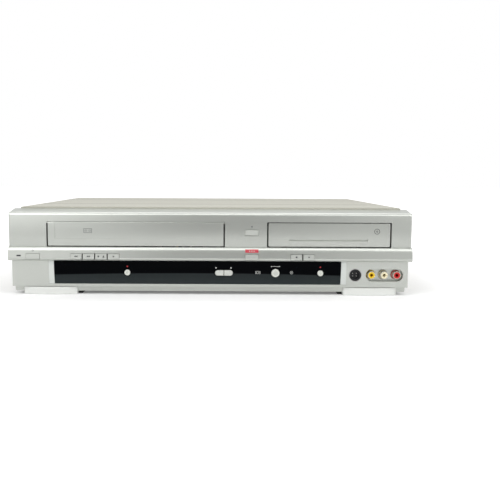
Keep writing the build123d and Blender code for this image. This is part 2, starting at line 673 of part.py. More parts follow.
def band_button(span):
    """A key that carries the band's own section, a little proud of it."""
    z = (BUTTON_BOTTOM, BUTTON_TOP)
    back = Y_INSIDE + 0.2
    cap = block(span, (Y_FRONT - 2, back), z) & (Pos(0, -BUTTON_PROUD, 0) * band_body(back + 5))
    flange = block(span, (back, back + BUTTON_FLANGE), grown(z, BUTTON_LEDGE))
    return cap + flange + stem(sum(span) / 2, sum(z) / 2, back + BUTTON_FLANGE)


def open_close_button():
    back = Y_INSIDE + 0.2
    x, z = around(MIDDLE_KEYS_X, OPEN_KEY_WIDTH), OPEN_KEY_HEIGHT
    cap = block(x, (Y_FACE - BUTTON_PROUD, back), z)
    cap = chamfer(cap.faces().sort_by(Axis.Y)[0].edges(), 0.3)
    flange = block(grown(x, BUTTON_LEDGE), (back, back + BUTTON_FLANGE), grown(z, BUTTON_LEDGE))
    return cap + flange + stem(MIDDLE_KEYS_X, sum(z) / 2, back + BUTTON_FLANGE)


def round_button(x, radius):
    """A round key in the window."""
    back = Y_INSIDE + WINDOW_FLANGE + 0.2
    cap = bar(radius, (x, back, WINDOW_KEYS_Z), (0, -1, 0), back - Y_PANEL + WINDOW_KEY_PROUD)
    cap = chamfer(cap.faces().sort_by(Axis.Y)[0].edges(), 0.4)
    flange = bar(radius + 1, (x, back, WINDOW_KEYS_Z), (0, 1, 0), BUTTON_FLANGE)
    return cap + flange + stem(x, WINDOW_KEYS_Z, back + BUTTON_FLANGE)


def program_button(side):
    """Half of the capsule key pair; side is -1 for down and 1 for up."""
    back = Y_INSIDE + WINDOW_FLANGE + 0.2
    end = back + BUTTON_FLANGE
    half = sorted((PROGRAM_X + side * PROGRAM_SPLIT, PROGRAM_X + side * PROGRAM_LENGTH))
    keep = block(half, (Y_FRONT - 5, Y_BOARD), (0, HEIGHT))
    outline = capsule(PROGRAM_X, WINDOW_KEYS_Z, PROGRAM_LENGTH, PROGRAM_HEIGHT)
    ledge = 2 * BUTTON_LEDGE
    wider = capsule(PROGRAM_X, WINDOW_KEYS_Z, PROGRAM_LENGTH + ledge, PROGRAM_HEIGHT + ledge)
    cap = forwards(outline, (Y_PANEL - WINDOW_KEY_PROUD, back)) & keep
    key = chamfer(cap.faces().sort_by(Axis.Y)[0].edges(), 0.3)
    key += forwards(wider, (back, end)) & keep
    return key + stem(PROGRAM_X + side * PROGRAM_LENGTH / 4, WINDOW_KEYS_Z, end)


# ---------------------------------------------------------------- front sockets
def s_video_socket():
    front = Y_PANEL + 0.7
    body = bar(SVIDEO_RADIUS, (SVIDEO_X, front, SOCKET_Z), (0, 1, 0), Y_BOARD - front)
    return body - bar(SVIDEO_BORE, (SVIDEO_X, front - 1, SOCKET_Z), (0, 1, 0), SVIDEO_DEPTH + 1)


def front_phono_jack(x):
    """Jack in the pocket: its base lies behind the pocket's floor."""
    floor_back = POCKET_FLOOR + LIP_WALL
    sleeve = bar(PHONO_SLEEVE, (x, floor_back, SOCKET_Z), (0, -1, 0), PHONO_LENGTH + LIP_WALL)
    sleeve += bar(PHONO_COLLAR, (x, floor_back, SOCKET_Z), (0, -1, 0), LIP_WALL + COLLAR_PROUD)
    hole = bar(PHONO_HOLE, (x, POCKET_FLOOR - PHONO_LENGTH, SOCKET_Z), (0, 1, 0), PHONO_LENGTH)
    base = block(around(x, PHONO_BASE), (floor_back, Y_BOARD), around(SOCKET_Z, PHONO_BASE))
    return sleeve + base - hole


# ---------------------------------------------------------------- cover, pan, rear panel, feet
def top_cover():
    half = COVER_WIDTH / 2
    shell = block((-half, half), (Y_COVER, Y_BACK), (COVER_BOTTOM, HEIGHT))
    shell = fillet(shell.edges().filter_by(Axis.Y).group_by(Axis.Z)[-1], COVER_ROUND)
    open_x = (-INSIDE_COVER, INSIDE_COVER)
    inside = block(open_x, (Y_COVER + SHEET, Y_BACK - SHEET), (COVER_BOTTOM - 1, HEIGHT - SHEET))
    shell -= fillet(inside.edges().filter_by(Axis.Y).group_by(Axis.Z)[-1], COVER_ROUND - SHEET)
    shell -= block(open_x, (Y_COVER - 1, Y_COVER + SHEET + 1), (COVER_BOTTOM - 1, HEIGHT - HEM))
    shell -= block(open_x, (Y_BACK - SHEET - 1, Y_BACK + 1), (COVER_BOTTOM - 1, HEIGHT - REAR_LIP))
    for reach in CREASES:
        y = Y_COVER + reach
        side, top = CREASE_WIDTH / 2, HEIGHT + 0.01
        vee = polygon((y - side, top), (y, HEIGHT - CREASE_DEPTH), (y + side, top))
        shell -= across(vee, (-half - 1, half + 1))
    for place, direction in screw_places():
        shell -= bar(SCREW_HOLE, place, direction, 4 * SHEET)
    return shell


def screw_places():
    """Head seats of the cover's screws, each with the way that its shank runs in."""
    half = COVER_WIDTH / 2
    z = PAN_TOP + PAN_SIDE / 2
    places = []
    for y in (Y_COVER + SIDE_SCREW_INSET, Y_BACK - SIDE_SCREW_INSET):
        places += [((-half, y, z), (1, 0, 0)), ((half, y, z), (-1, 0, 0))]
    for x in (REAR_SCREW_INSET - INSIDE_COVER, 0, INSIDE_COVER - REAR_SCREW_INSET):
        places.append(((x, Y_BACK, HEIGHT - REAR_LIP / 2), (0, -1, 0)))
    return places


def cover_screws():
    screws = Part()
    for place, direction in screw_places():
        out = tuple(-value for value in direction)
        head = bar(SCREW_HEAD, place, out, SCREW_HEAD_HEIGHT)
        rim = head.edges().filter_by(GeomType.CIRCLE).sort_by(Axis(place, out))[-1]
        head = chamfer(rim, 0.7)
        screws += head + bar(SCREW_SHANK, place, direction, 4.0)
    return screws


def pan_posts():
    """Stand-offs on the pan: centre, radius and top height."""
    deck = (around(DOOR_CENTRE, DOOR_WIDTH - 12), grown((Y_JOINT, Y_FRONT + DECK_BACK), -POST_INSET))
    drive = (around(TRAY_CENTRE, TRAY_WIDTH - 10), grown(drive_y(), -POST_INSET))
    spots = [(deck, 3.0, DECK_Z), (drive, 3.0, DRIVE_FLOOR)]
    for x, y in (main_board_space(), power_board_space()):
        spots.append(((grown(x, -6), (y[0] + 6, y[1] - 14)), 2.5, PAN_TOP + BOARD_LIFT))
    posts = []
    for (xs, ys), radius, top in spots:
        posts += [(x, y, radius, top) for x in xs for y in ys]
    return posts


def pan_slots():
    """Two rows of cooling slots under the rear boards."""
    count, pitch, width = PAN_SLOTS
    y = [Y_BACK - reach for reach in PAN_SLOT_REACH]
    slots = Part()
    for first in PAN_SLOT_ROWS:
        for index in range(count):
            slots += block(around(first + index * pitch, width), y, (PAN_Z - 1, PAN_TOP + 1))
    return slots


def base_chassis():
    """Pressed pan: floor, side flanges, cooling slots and stand-offs."""
    back = Y_BACK - SHEET
    start = Y_JOINT + LIP_REACH + 1
    floor = block((-INSIDE_COVER, INSIDE_COVER), (Y_JOINT + 0.3, back), (PAN_Z, PAN_TOP))
    tongue = INSIDE_COVER - RIM - 0.3
    floor += block((-tongue, tongue), (Y_INSIDE + 6, Y_JOINT + 1), (PAN_Z, PAN_TOP))
    for side in (-1, 1):
        wall = sorted((side * INSIDE_COVER, side * (INSIDE_COVER - PAN_SHEET)))
        floor += block(wall, (start, back), (PAN_Z, PAN_TOP + PAN_SIDE))
    floor -= pan_slots()
    for x, y, radius, top in pan_posts():
        floor += upright(radius, x, y, (PAN_TOP - 0.5, top))
    for place, direction in screw_places()[:4]:
        floor -= bar(SCREW_HOLE, place, direction, 5 * SHEET)
    return floor


def rear_sockets():
    """Centres of what passes through the rear panel: kind -> list of (x, z)."""
    aerial_x = main_board_space()[0][0] + AERIAL_X
    mains_x = power_board_space()[0][1] - MAINS_X
    first, pitch = REAR_PHONO
    columns = [first + pitch * column for column in range(3)]
    return {
        "aerial": [(aerial_x, BOARD_TOP + height) for height in AERIAL_HEIGHTS],
        "scart": [(SCART_X, BOARD_TOP + height) for height in SCART_HEIGHTS],
        "phono": [(x, BOARD_TOP + height) for x in columns for height in REAR_PHONO_HEIGHTS],
        "mains": [(mains_x, BOARD_TOP + MAINS_HEIGHT)],
    }


def rear_panel():
    y = (Y_REAR_PANEL, Y_REAR_PANEL + REAR_SHEET)
    cut = grown(y, 1)
    plate = block((-INSIDE_COVER, INSIDE_COVER), y, (PAN_TOP, HEIGHT - SHEET))
    plate = fillet(plate.edges().filter_by(Axis.Y).group_by(Axis.Z)[-1], COVER_ROUND)
    for side in (-1, 1):
        ends = sorted((side * (INSIDE_COVER - PAN_SHEET), side * (INSIDE_COVER + 1)))
        plate -= block(ends, cut, (PAN_Z, PAN_TOP + PAN_SIDE))
    places = rear_sockets()
    for kind, radius in (("aerial", AERIAL_RADIUS), ("phono", PHONO_SLEEVE)):
        for x, z in places[kind]:
            plate -= bar(radius + BOSS + FIT_GAP, (x, cut[0], z), (0, 1, 0), 4)
    for kind, (width, height) in (("scart", SCART_BODY), ("mains", MAINS_BODY)):
        for x, z in places[kind]:
            plate -= block(around(x, width + 2 * FIT_GAP), cut, around(z, height + 2 * FIT_GAP))
    count, pitch, width = VENTS
    for index in range(count):
        slot_x = around(VENTS_X + index * pitch, width)
        plate -= block(slot_x, cut, (HEIGHT - VENTS_DROP[0], HEIGHT - VENTS_DROP[1]))
    for place, direction in screw_places()[4:]:
        plate -= bar(SCREW_HOLE, place, direction, 5 * SHEET)
    return plate


def front_feet():
    """Bright feet that show below the lower face; their fronts bow outwards."""
    feet = Part()
    front, back = Y_PANEL - 1.0, Y_PLINTH + FOOT_DEPTH
    for side in (-1, 1):
        low, high = around(side * FOOT_X, FOOT_WIDTH)
        outline = make_face([
            ThreePointArc((low, front + FOOT_BOW), (side * FOOT_X, front), (high, front + FOOT_BOW)),
            Line((high, front + FOOT_BOW), (high, back)),
            Line((high, back), (low, back)),
            Line((low, back), (low, front + FOOT_BOW)),
        ])
        foot = extrude(outline, amount=FOOT_HEIGHT)
        ends = foot.edges().filter_by(Axis.Z).group_by(Axis.Y)[0]
        foot = fillet(ends, 2.0)
        foot = fillet(foot.faces().sort_by(Axis.Z)[0].edges(), 1.0)
        foot -= block((low - 1, high + 1), (Y_PLINTH, back + 1), (PLINTH_BOTTOM, FOOT_HEIGHT + 1))
        feet += foot
    return feet


def rear_feet():
    feet = Part()
    for side in (-1, 1):
        x, y = side * REAR_FOOT_X, Y_BACK - REAR_FOOT_INSET
        foot = Pos(x, y, 0) * standing_cone(REAR_FOOT_RADIUS - 1, REAR_FOOT_RADIUS, PAN_Z)
        feet += foot - upright(3.0, x, y, (-1, 3.0))
    return feet


# ---------------------------------------------------------------- boards and rear sockets
def front_board():
    """Upright board behind the band and the window, with a push switch behind each key."""
    x = (STANDBY_KEY[0] + 2.9, POCKET[1] + 0.5)
    y = (Y_BOARD, Y_BOARD + BOARD)
    board = block(x, y, (PANEL_BOTTOM + 1.5, FRONT_BOARD_TOP))
    tab = (DOOR_SIDE + 10, TRAY_CENTRE - TRAY_WIDTH / 2 - 8)
    board += block(tab, y, (FRONT_BOARD_TOP - 1, OPEN_KEY_HEIGHT[1] + 4))
    for key_x, key_z in switch_places():
        board += block(around(key_x, SWITCH), (Y_BOARD - SWITCH + 0.4, Y_BOARD), around(key_z, SWITCH))
    display = (PROGRAM_X + 17, OUTPUT_X - 9)
    front = Y_INSIDE + WINDOW_FLANGE + 1.5
    return board + block(display, (front, Y_BOARD), (WINDOW_BOTTOM + 4, BAND_BOTTOM - 4))


def switch_places():
    """X and Z of the switch behind each key."""
    key_z = (BUTTON_BOTTOM + BUTTON_TOP) / 2
    places = [(sum(span) / 2, key_z) for span in key_spans().values()]
    places.append((MIDDLE_KEYS_X, sum(OPEN_KEY_HEIGHT) / 2))
    places += [(key_x, WINDOW_KEYS_Z) for key_x, _ in round_keys().values()]
    return places + [(PROGRAM_X + side * PROGRAM_LENGTH / 4, WINDOW_KEYS_Z) for side in (-1, 1)]


def main_board_space():
    x = (MAIN_BOARD[0] - INSIDE_COVER, MAIN_BOARD[1])
    return x, (Y_FRONT + DECK_BACK + BOARD_GAP, Y_REAR_PANEL - 1)


def power_board_space():
    x = (POWER_BOARD[0], INSIDE_COVER - POWER_BOARD[1])
    return x, (drive_y()[1] + BOARD_GAP, Y_REAR_PANEL - 1)


def main_board():
    """Board on stand-offs with its larger chips and cans."""
    x, y = main_board_space()
    top = BOARD_TOP
    board = block(x, y, (top - BOARD, top))
    for chip_x, inset, side, height in CHIPS:
        board += block(around(chip_x, side), around(y[0] + inset, side), (top, top + height))
    count, first, pitch = CANS
    for index in range(count):
        board += upright(CAN_SIZE[0], first + index * pitch, y[0] + 18, (top - 0.5, top + CAN_SIZE[1]))
    return board


def power_board():
    """Mains board: transformer block, smoothing capacitor and heat sink."""
    x, y = power_board_space()
    top = BOARD_TOP
    board = block(x, y, (top - BOARD, top))
    width, depth, height = TRANSFORMER
    board += block(around(x[0] + 50, width), around(y[0] + 45, depth), (top, top + height))
    board += upright(RESERVOIR[0], x[0] + 92, y[0] + 40, (top - 0.5, top + RESERVOIR[1]))
    count, pitch, thick, height = FINS
    fin_y = (y[0] + 20, y[0] + 70)
    for index in range(count):
        board += block(around(x[0] + 8 + index * pitch, thick), fin_y, (top - 0.2, top + height))
    return board + block((x[0] + 7, x[0] + 9 + count * pitch - pitch), fin_y, (top, top + 2))


def coax(x, z, radius, bore, depth):
    """A round rear socket: a boss through the panel, then the bare sleeve that a plug goes over."""
    back = Y_REAR_PANEL
    body = bar(radius + BOSS, (x, back - 1, z), (0, 1, 0), REAR_SHEET + 1)
    body += bar(radius, (x, back, z), (0, 1, 0), Y_BACK + SOCKET_REACH - back)
    return body, bar(bore, (x, Y_BACK + SOCKET_REACH + 1, z), (0, -1, 0), depth + 1)


def tuner_module():
    """Metal can with the two aerial sockets."""
    places = rear_sockets()["aerial"]
    width, depth, over = TUNER
    z = (BOARD_TOP, places[1][1] + over)
    can = block(around(places[0][0], width), (Y_REAR_PANEL - depth, Y_REAR_PANEL), z)
    for x, z in places:
        body, hole = coax(x, z, AERIAL_RADIUS, 1.8, 8)
        can = can + body - hole
    return can


def scart_sockets():
    """Two wide sockets, one above the other, standing on the main board."""
    back = Y_REAR_PANEL
    places = rear_sockets()["scart"]
    body = block(around(places[0][0], SCART_BODY[0] - 4), (back - 16, back), (BOARD_TOP, places[1][1] + 6))
    for x, z in places:
        body += block(around(x, SCART_BODY[0]), (back - 14, Y_BACK + 1), around(z, SCART_BODY[1]))
        left, right = around(x, SCART_MOUTH[0])
        low, high = around(z, SCART_MOUTH[1])
        outline = polygon(
            (left, high), (right, high), (right, low + SCART_SKEW), (right - SCART_SKEW, low), (left, low),
        )
        body -= forwards(outline, (Y_BACK + 1 - SCART_DEPTH, Y_BACK + 2))
    return body


def rear_phono_jacks():
    """Block of six phono sockets on the main board."""
    places = rear_sockets()["phono"]
    x = grown((places[0][0], places[-1][0]), 7)
    jacks = block(x, (Y_REAR_PANEL - 10, Y_REAR_PANEL), (BOARD_TOP, places[-1][1] + 7))
    for x, z in places:
        body, hole = coax(x, z, PHONO_SLEEVE, PHONO_HOLE, 7)
        jacks = jacks + body - hole
    return jacks


def mains_inlet():
    """Two-pin inlet; its body stands on the power board."""
    x, z = rear_sockets()["mains"][0]
    back = Y_REAR_PANEL
    body = block(around(x, MAINS_BODY[0]), (back - 16, Y_BACK + 1), around(z, MAINS_BODY[1]))
    body += block(around(x, MAINS_BODY[0]), (back - 16, back - 1), (BOARD_TOP, z))
    body -= forwards(capsule(x, z, *MAINS_MOUTH), (Y_BACK + 1 - MAINS_DEPTH, Y_BACK + 2))
    radius, offset_x, length = MAINS_PIN
    for side in (-1, 1):
        body += bar(radius, (x + side * offset_x, Y_BACK + 0.5 - MAINS_DEPTH, z), (0, 1, 0), length)
    return body


# ---------------------------------------------------------------- tape deck
def polar(centre, radius, degrees):
    """A point at a bearing from a centre, in plan."""
    angle = math.radians(degrees)
    return centre[0] + radius * math.cos(angle), centre[1] + radius * math.sin(angle)


def capstan_place():
    return DOOR_CENTRE + CAPSTAN_OFFSET[0], DRUM_Y + CAPSTAN_OFFSET[1]


def pinch_geometry():
    """Pivot of the pinch arm, and its roller's place at rest."""
    pivot = (DOOR_CENTRE + PINCH_OFFSET[0], DRUM_Y + PINCH_OFFSET[1])
    touch = polar(capstan_place(), CAPSTAN_RADIUS + PINCH_RADIUS + 0.3, PINCH_ANGLE)
    reach = math.hypot(touch[0] - pivot[0], touch[1] - pivot[1])
    bearing = math.degrees(math.atan2(touch[1] - pivot[1], touch[0] - pivot[0]))
    return pivot, polar(pivot, reach, bearing + PINCH_SWING), reach, bearing + PINCH_SWING


def arc_slot(side):
    """Cutter for a guide post's curved slot, round the drum."""
    centre = (DOOR_CENTRE, DRUM_Y)
    width = 5.0
    first = -90 + side * (POST_START - 3)
    last = -90 + side * (POST_START + POST_SWING + 3)
    middle = (first + last) / 2
    points = {}
    for radius in (POST_ORBIT - width / 2, POST_ORBIT + width / 2):
        points[radius] = [polar(centre, radius, angle) for angle in (first, middle, last)]
    inner, outer = points.values()
    face = make_face([
        ThreePointArc(*inner),
        Line(inner[2], outer[2]),
        ThreePointArc(*outer),
        Line(outer[0], inner[0]),
    ])
    return Pos(0, 0, DECK_Z - 1) * extrude(face, amount=DECK_SHEET + 2)


def deck_plate():
    """Deck plate with reel pins, capstan bearing and the posts' slots."""
    half = CASSETTE[0] / 2 + HOLDER_PLAY + HOLDER_SHEET + 2.5
    x = (DOOR_CENTRE - half, DOOR_CENTRE + half)
    plate = block(x, (Y_JOINT + 2, Y_FRONT + DECK_BACK), (DECK_Z, DECK_TOP))
    for side in (-1, 1):
        plate -= arc_slot(side)
        pin_x = DOOR_CENTRE + side * REEL_SPACING / 2
        plate += upright(CAPSTAN_RADIUS, pin_x, REEL_Y, (DECK_Z, DECK_TOP + REEL_HEIGHT - 2))
    pivot = pinch_geometry()[0]
    plate += upright(PINCH_PIVOT, pivot[0], pivot[1], (DECK_Z, DECK_TOP + 12))
    cx, cy = capstan_place()
    plate += upright(5.0, cx, cy, (DECK_Z, DECK_TOP + BEARING_HEIGHT))
    plate -= upright(CAPSTAN_RADIUS + PIN_PLAY, cx, cy, (DECK_Z - 1, DECK_TOP + BEARING_HEIGHT + 1))
    return plate


def leaning(radius, low, height):
    """A cylinder on the drum's axis, from a height along it."""
    base = Plane(origin=(DOOR_CENTRE, DRUM_Y, DECK_TOP), z_dir=drum_axis())
    return base.offset(low) * standing_cylinder(radius, height)


def drum_axis():
    lean = math.radians(DRUM_TILT)
    return (math.sin(lean), 0, math.cos(lean))


def lower_drum():
    drop = DRUM_RADIUS * math.tan(math.radians(DRUM_TILT)) + 1
    body = leaning(DRUM_RADIUS, -drop, DRUM_LOWER + drop)
    body -= leaning(DRUM_SHAFT + PIN_PLAY, DRUM_LOWER - 12, 13)
    keep = block(around(DOOR_CENTRE, 4 * DRUM_RADIUS), around(DRUM_Y, 4 * DRUM_RADIUS), (DECK_TOP, HEIGHT))
    return body & keep


def upper_drum():
    start = DRUM_LOWER + DRUM_GAP
    body = leaning(DRUM_RADIUS, start, DRUM_UPPER)
    body -= leaning(DRUM_RADIUS - 4, start + DRUM_UPPER - 4, 5)
    body += leaning(7, start + DRUM_UPPER - 5, 4)
    return body + leaning(DRUM_SHAFT, DRUM_LOWER - 11, 13)


def capstan():
    """Shaft and flywheel, below and through the deck plate."""
    x, y = capstan_place()
    top = DECK_Z - FLYWHEEL_DROP
    wheel = upright(FLYWHEEL_RADIUS, x, y, (top - FLYWHEEL_THICK, top))
    hollow = upright(FLYWHEEL_RADIUS - 3, x, y, (top - FLYWHEEL_THICK - 1, top - 2))
    wheel -= hollow - upright(5, x, y, (0, HEIGHT))
    return wheel + upright(CAPSTAN_RADIUS, x, y, (top - FLYWHEEL_THICK, DECK_TOP + 21))


def reel(side):
    """Reel table on its pin, with the three drive splines of its spindle."""
    x = DOOR_CENTRE + side * REEL_SPACING / 2
    start = DECK_TOP + 0.3
    body = upright(REEL_RADIUS, x, REEL_Y, (start, start + 3))
    body += upright(REEL_RADIUS - 5, x, REEL_Y, (start, start + 6))
    body += upright(4.0, x, REEL_Y, (start, start + REEL_HEIGHT))
    for index in range(3):
        spline = block((3.0, 5.5), (-0.8, 0.8), (start + 5, start + REEL_HEIGHT - 3))
        body += Pos(x, REEL_Y, 0) * Rot(0, 0, 120 * index) * spline
    return body - upright(CAPSTAN_RADIUS + PIN_PLAY, x, REEL_Y, (start - 1, DECK_TOP + REEL_HEIGHT - 1))


def guide_post(side):
    """Guide roller on its sledge, which rides in a curved slot round the drum."""
    x, y = polar((DOOR_CENTRE, DRUM_Y), POST_ORBIT, -90 + side * POST_START)
    top = DECK_TOP + 0.1
    sledge = upright(5.0, x, y, (top, top + 2)) + upright(2.3, x, y, (DECK_Z - 0.5, top + 1))
    button = upright(4.0, x, y, (DECK_Z - 1.6, DECK_Z - 0.1))
    roller = upright(POST_RADIUS, x, y, (top + 1, top + POST_HEIGHT))
    cap = upright(POST_RADIUS + 1, x, y, (top + POST_HEIGHT - 1.5, top + POST_HEIGHT))
    return sledge + button + roller + cap


def pinch_arm():
    """Lever from its pivot to the roller's pin."""
    pivot, seat, reach, bearing = pinch_geometry()
    low = DECK_TOP + 0.3
    lever = (low, low + WALL)
    arm = Pos(pivot[0], pivot[1], 0) * Rot(0, 0, bearing) * block((0, reach), (-3, 3), lever)
    arm += upright(4.5, pivot[0], pivot[1], (low, DECK_TOP + 11))
    arm += upright(3.0, seat[0], seat[1], lever)
    arm += upright(CAPSTAN_RADIUS, seat[0], seat[1], (low, low + 20))
    return arm - upright(PINCH_PIVOT + PIN_PLAY, pivot[0], pivot[1], (low - 1, DECK_TOP + 12))


def pinch_roller():
    x, y = pinch_geometry()[1]
    low = DECK_TOP + 3.2
    roller = upright(PINCH_RADIUS, x, y, (low, low + PINCH_HEIGHT))
    return roller - upright(CAPSTAN_RADIUS + PIN_PLAY, x, y, (low - 1, low + PINCH_HEIGHT + 1))


def tape_heads():
    """Erase head on the supply side, sound and control head on the other."""
    heads = Part()
    for side, bearing in zip((-1, 1), HEAD_BEARINGS):
        x, y = polar((DOOR_CENTRE, DRUM_Y), HEAD_ORBIT, bearing)
        heads += block(around(x, 7), around(y, 9), (DECK_TOP, DECK_TOP + 3))
        heads += block(around(x - side, 4.5), around(y, 8), (DECK_TOP + 2, DECK_TOP + HEAD_HEIGHT))
    return heads


def holder_space():
    """Inside of the cassette holder: x, y and z pairs."""
    x = around(DOOR_CENTRE, CASSETTE[0] + 2 * HOLDER_PLAY)
    y = (Y_FRONT + HOLDER_FRONT, Y_FRONT + HOLDER_FRONT + HOLDER_DEPTH)
    z = (OPENING[0] + 0.2, OPENING[1] + 0.3)
    return x, y, z


def holder_pins():
    """The holder's guide pins: y and z of each."""
    x, y, z = holder_space()
    return [(y[0] + 5, (z[0] + z[1]) / 2), (y[1] - 5, (z[0] + z[1]) / 2)]


def cassette_holder():
    """Sheet box, open at the front, that takes the cassette down the carriage."""
    x, y, z = holder_space()
    t = HOLDER_SHEET
    box = block((x[0] - t, x[1] + t), y, (z[0] - t, z[1] + t)) - block(x, (y[0] - 1, y[1] + 1), z)
    box -= block((x[0] + 22, x[1] - 22), (y[0] + 9, y[1] + 1), (z[0] - t - 1, z[0] + 1))
    box -= block((x[0] + 45, x[1] - 45), (y[0] + 9, y[1] - 8), (z[1] - 1, z[1] + t + 1))
    for tab_x in (x[0] + 9, x[1] - 9):
        box += block(around(tab_x, 14), (y[1] - t, y[1]), (z[0] - t / 2, z[0] + 8))
    length = t / 2 + CARRIAGE_GAP + CARRIAGE_SHEET + 0.6
    for pin_y, pin_z in holder_pins():
        for side, edge in ((-1, x[0]), (1, x[1])):
            box += bar(CARRIAGE_PIN, (edge + side * t / 2, pin_y, pin_z), (side, 0, 0), length)
    return box


def carriage_frame():
    """Side plates with bent slots for the holder's pins, and a bridge across the top."""
    x, y, z = holder_space()
    t = HOLDER_SHEET
    inner = grown(x, t + CARRIAGE_GAP)
    run_back = y[1] + HOLDER_TRAVEL + 8
    under = z[1] + t + CARRIAGE_GAP
    top = under + CARRIAGE_SHEET
    frame = Part()
    slot = CARRIAGE_PIN + 0.15
    for side, edge in ((-1, inner[0]), (1, inner[1])):
        wall = sorted((edge, edge + side * CARRIAGE_SHEET))
        plate = block(wall, (y[0] - 2, run_back), (DECK_TOP, top))
        for pin_y, pin_z in holder_pins():
            end = pin_y + HOLDER_TRAVEL
            plate -= block(wall, (pin_y - slot, end + slot), around(pin_z, 2 * slot))
            plate -= block(wall, (end - slot, end + slot), (pin_z - CARRIAGE_DROP, pin_z + slot))
        frame += plate
    return frame + block(grown(inner, 0.5), (y[0] + 2, y[0] + 2 + CARRIAGE_BRIDGE), (under, top))


def dc_motors():
    """The small motors that load the tape and drive the tray."""
    loader_x = DOOR_CENTRE - CASSETTE[0] / 2 + 20
    loader_y = Y_FRONT + DECK_BACK - 42
    radius, length = LOADER
    axis = (loader_x, loader_y, DECK_TOP + radius)
    motors = bar(radius, axis, (0, 1, 0), length) + bar(1.0, axis, (0, -1, 0), 8)
    radius, height = TRAY_MOTOR
    x, y = motor_place()
    top = DRIVE_FLOOR_TOP + 4.6
    motors += upright(radius, x, y, (DRIVE_FLOOR - height, DRIVE_FLOOR))
    motors += upright(1.0, x, y, (DRIVE_FLOOR - 1, top))
    return motors + upright(MOTOR_PULLEY, x, y, (DRIVE_FLOOR_TOP + 0.6, top))


# ---------------------------------------------------------------- disc drive
def tray_x():
    return around(TRAY_CENTRE, TRAY_WIDTH)


def rack_line():
    """X of the rack's pitch line, inside the tray's left edge."""
    return tray_x()[0] + RACK_INSET


def pinion_place():
    return rack_line() + PITCH_RADIUS, PINION_Y


def motor_place():
    x, y = pinion_place()
    return x + MOTOR_OFFSET[0], y + MOTOR_OFFSET[1]


def disc_tray():
    """Tray with its two disc recesses, the slot for turntable and pick-up, and the rack below."""
    x = tray_x()
    y = (Y_FACE + TRAY_FRONT_THICK, Y_FACE + TRAY_FRONT_THICK + TRAY_LENGTH)
    tray = block(x, y, (TRAY_Z, TRAY_TOP))
    tray = fillet(tray.edges().filter_by(Axis.Z).group_by(Axis.Y)[-1], 4.0)
    tray -= upright(DISC_RECESS, TRAY_CENTRE, DISC_Y, (TRAY_TOP - RECESS_STEP, TRAY_TOP + 1))
    low = (TRAY_TOP - 2 * RECESS_STEP, TRAY_TOP + 1)
    tray -= upright(SMALL_RECESS, TRAY_CENTRE, DISC_Y, low)
    for side in (-1, 1):
        tray -= upright(SCALLOP, TRAY_CENTRE + side * SMALL_RECESS, DISC_Y, low)
    slot = Pos(TRAY_CENTRE, DISC_Y) * Circle(SLOT_WIDTH / 2)
    slot += Pos(TRAY_CENTRE, DISC_Y + SLOT_LENGTH / 2) * Rectangle(SLOT_WIDTH, SLOT_LENGTH)
    tray -= Pos(0, 0, TRAY_Z - 1) * extrude(slot, amount=TRAY_THICK + 2)
    return tray + tray_rack(y)


def tray_rack(y):
    """Rack under the tray's left edge, with its teeth towards the middle."""
    pitch = math.pi * RACK_MODULE
    line = rack_line()
    tip, root = line + 0.9 * RACK_MODULE, line - 1.2 * RACK_MODULE
    slope = math.tan(math.radians(20))
    half = pitch / 4 - 0.06
    first = PINION_Y - 1.5 * pitch
    count = int((y[1] - 3 - first) / pitch)
    points = [(root - 2.5, first - pitch / 2)]
    for index in range(count):
        middle = first + index * pitch
        points += [
            (root, middle - half - (line - root) * slope),
            (tip, middle - half + (tip - line) * slope),
            (tip, middle + half - (tip - line) * slope),
            (root, middle + half + (line - root) * slope),
        ]
    points += [(root - 2.5, first + (count - 0.5) * pitch)]
    return Pos(0, 0, TRAY_Z - 4) * extrude(polygon(*points), amount=4.2)


def tray_front():
    """Face of the tray: a field above the crease and a finger groove across it."""
    x = around(TRAY_CENTRE, TRAY_FRONT_WIDTH)
    plate = block(x, (Y_FACE, Y_FACE + TRAY_FRONT_THICK), (DOOR_LOW, DOOR_HIGH - 0.6))
    plate = fillet(plate.edges().filter_by(Axis.Y), 1.0)
    field = (x[0] - 1, x[1] - FIELD_EDGE)
    plate -= block(field, (Y_FACE - 1, Y_FACE + RECESS * 0.6), (FRONT_CREASE, DOOR_HIGH - 1.6))
    low, front, back = FRONT_CREASE - 2 * GROOVE_HEIGHT / 3, Y_FACE - 0.1, Y_FACE + GROOVE_DEPTH
    high = low + GROOVE_HEIGHT
    scoop = polygon((front, low), (back, low + GROOVE_HEIGHT * 0.45), (back, high), (front, high))
    return plate - across(scoop, TRAY_GROOVE)


def drive_y():
    """Front and back of the drive's floor: it starts behind the front board."""
    tray_back = Y_FACE + TRAY_FRONT_THICK + TRAY_LENGTH
    return Y_BOARD + BOARD + 1, tray_back + DRIVE_REAR_GAP + DRIVE_WALL


def hinge_line():
    """Depth and height of the traverse's hinge pins."""
    return Y_FRONT + LIFT_BACK, TRAVERSE_Z + TRAVERSE_SHEET / 2


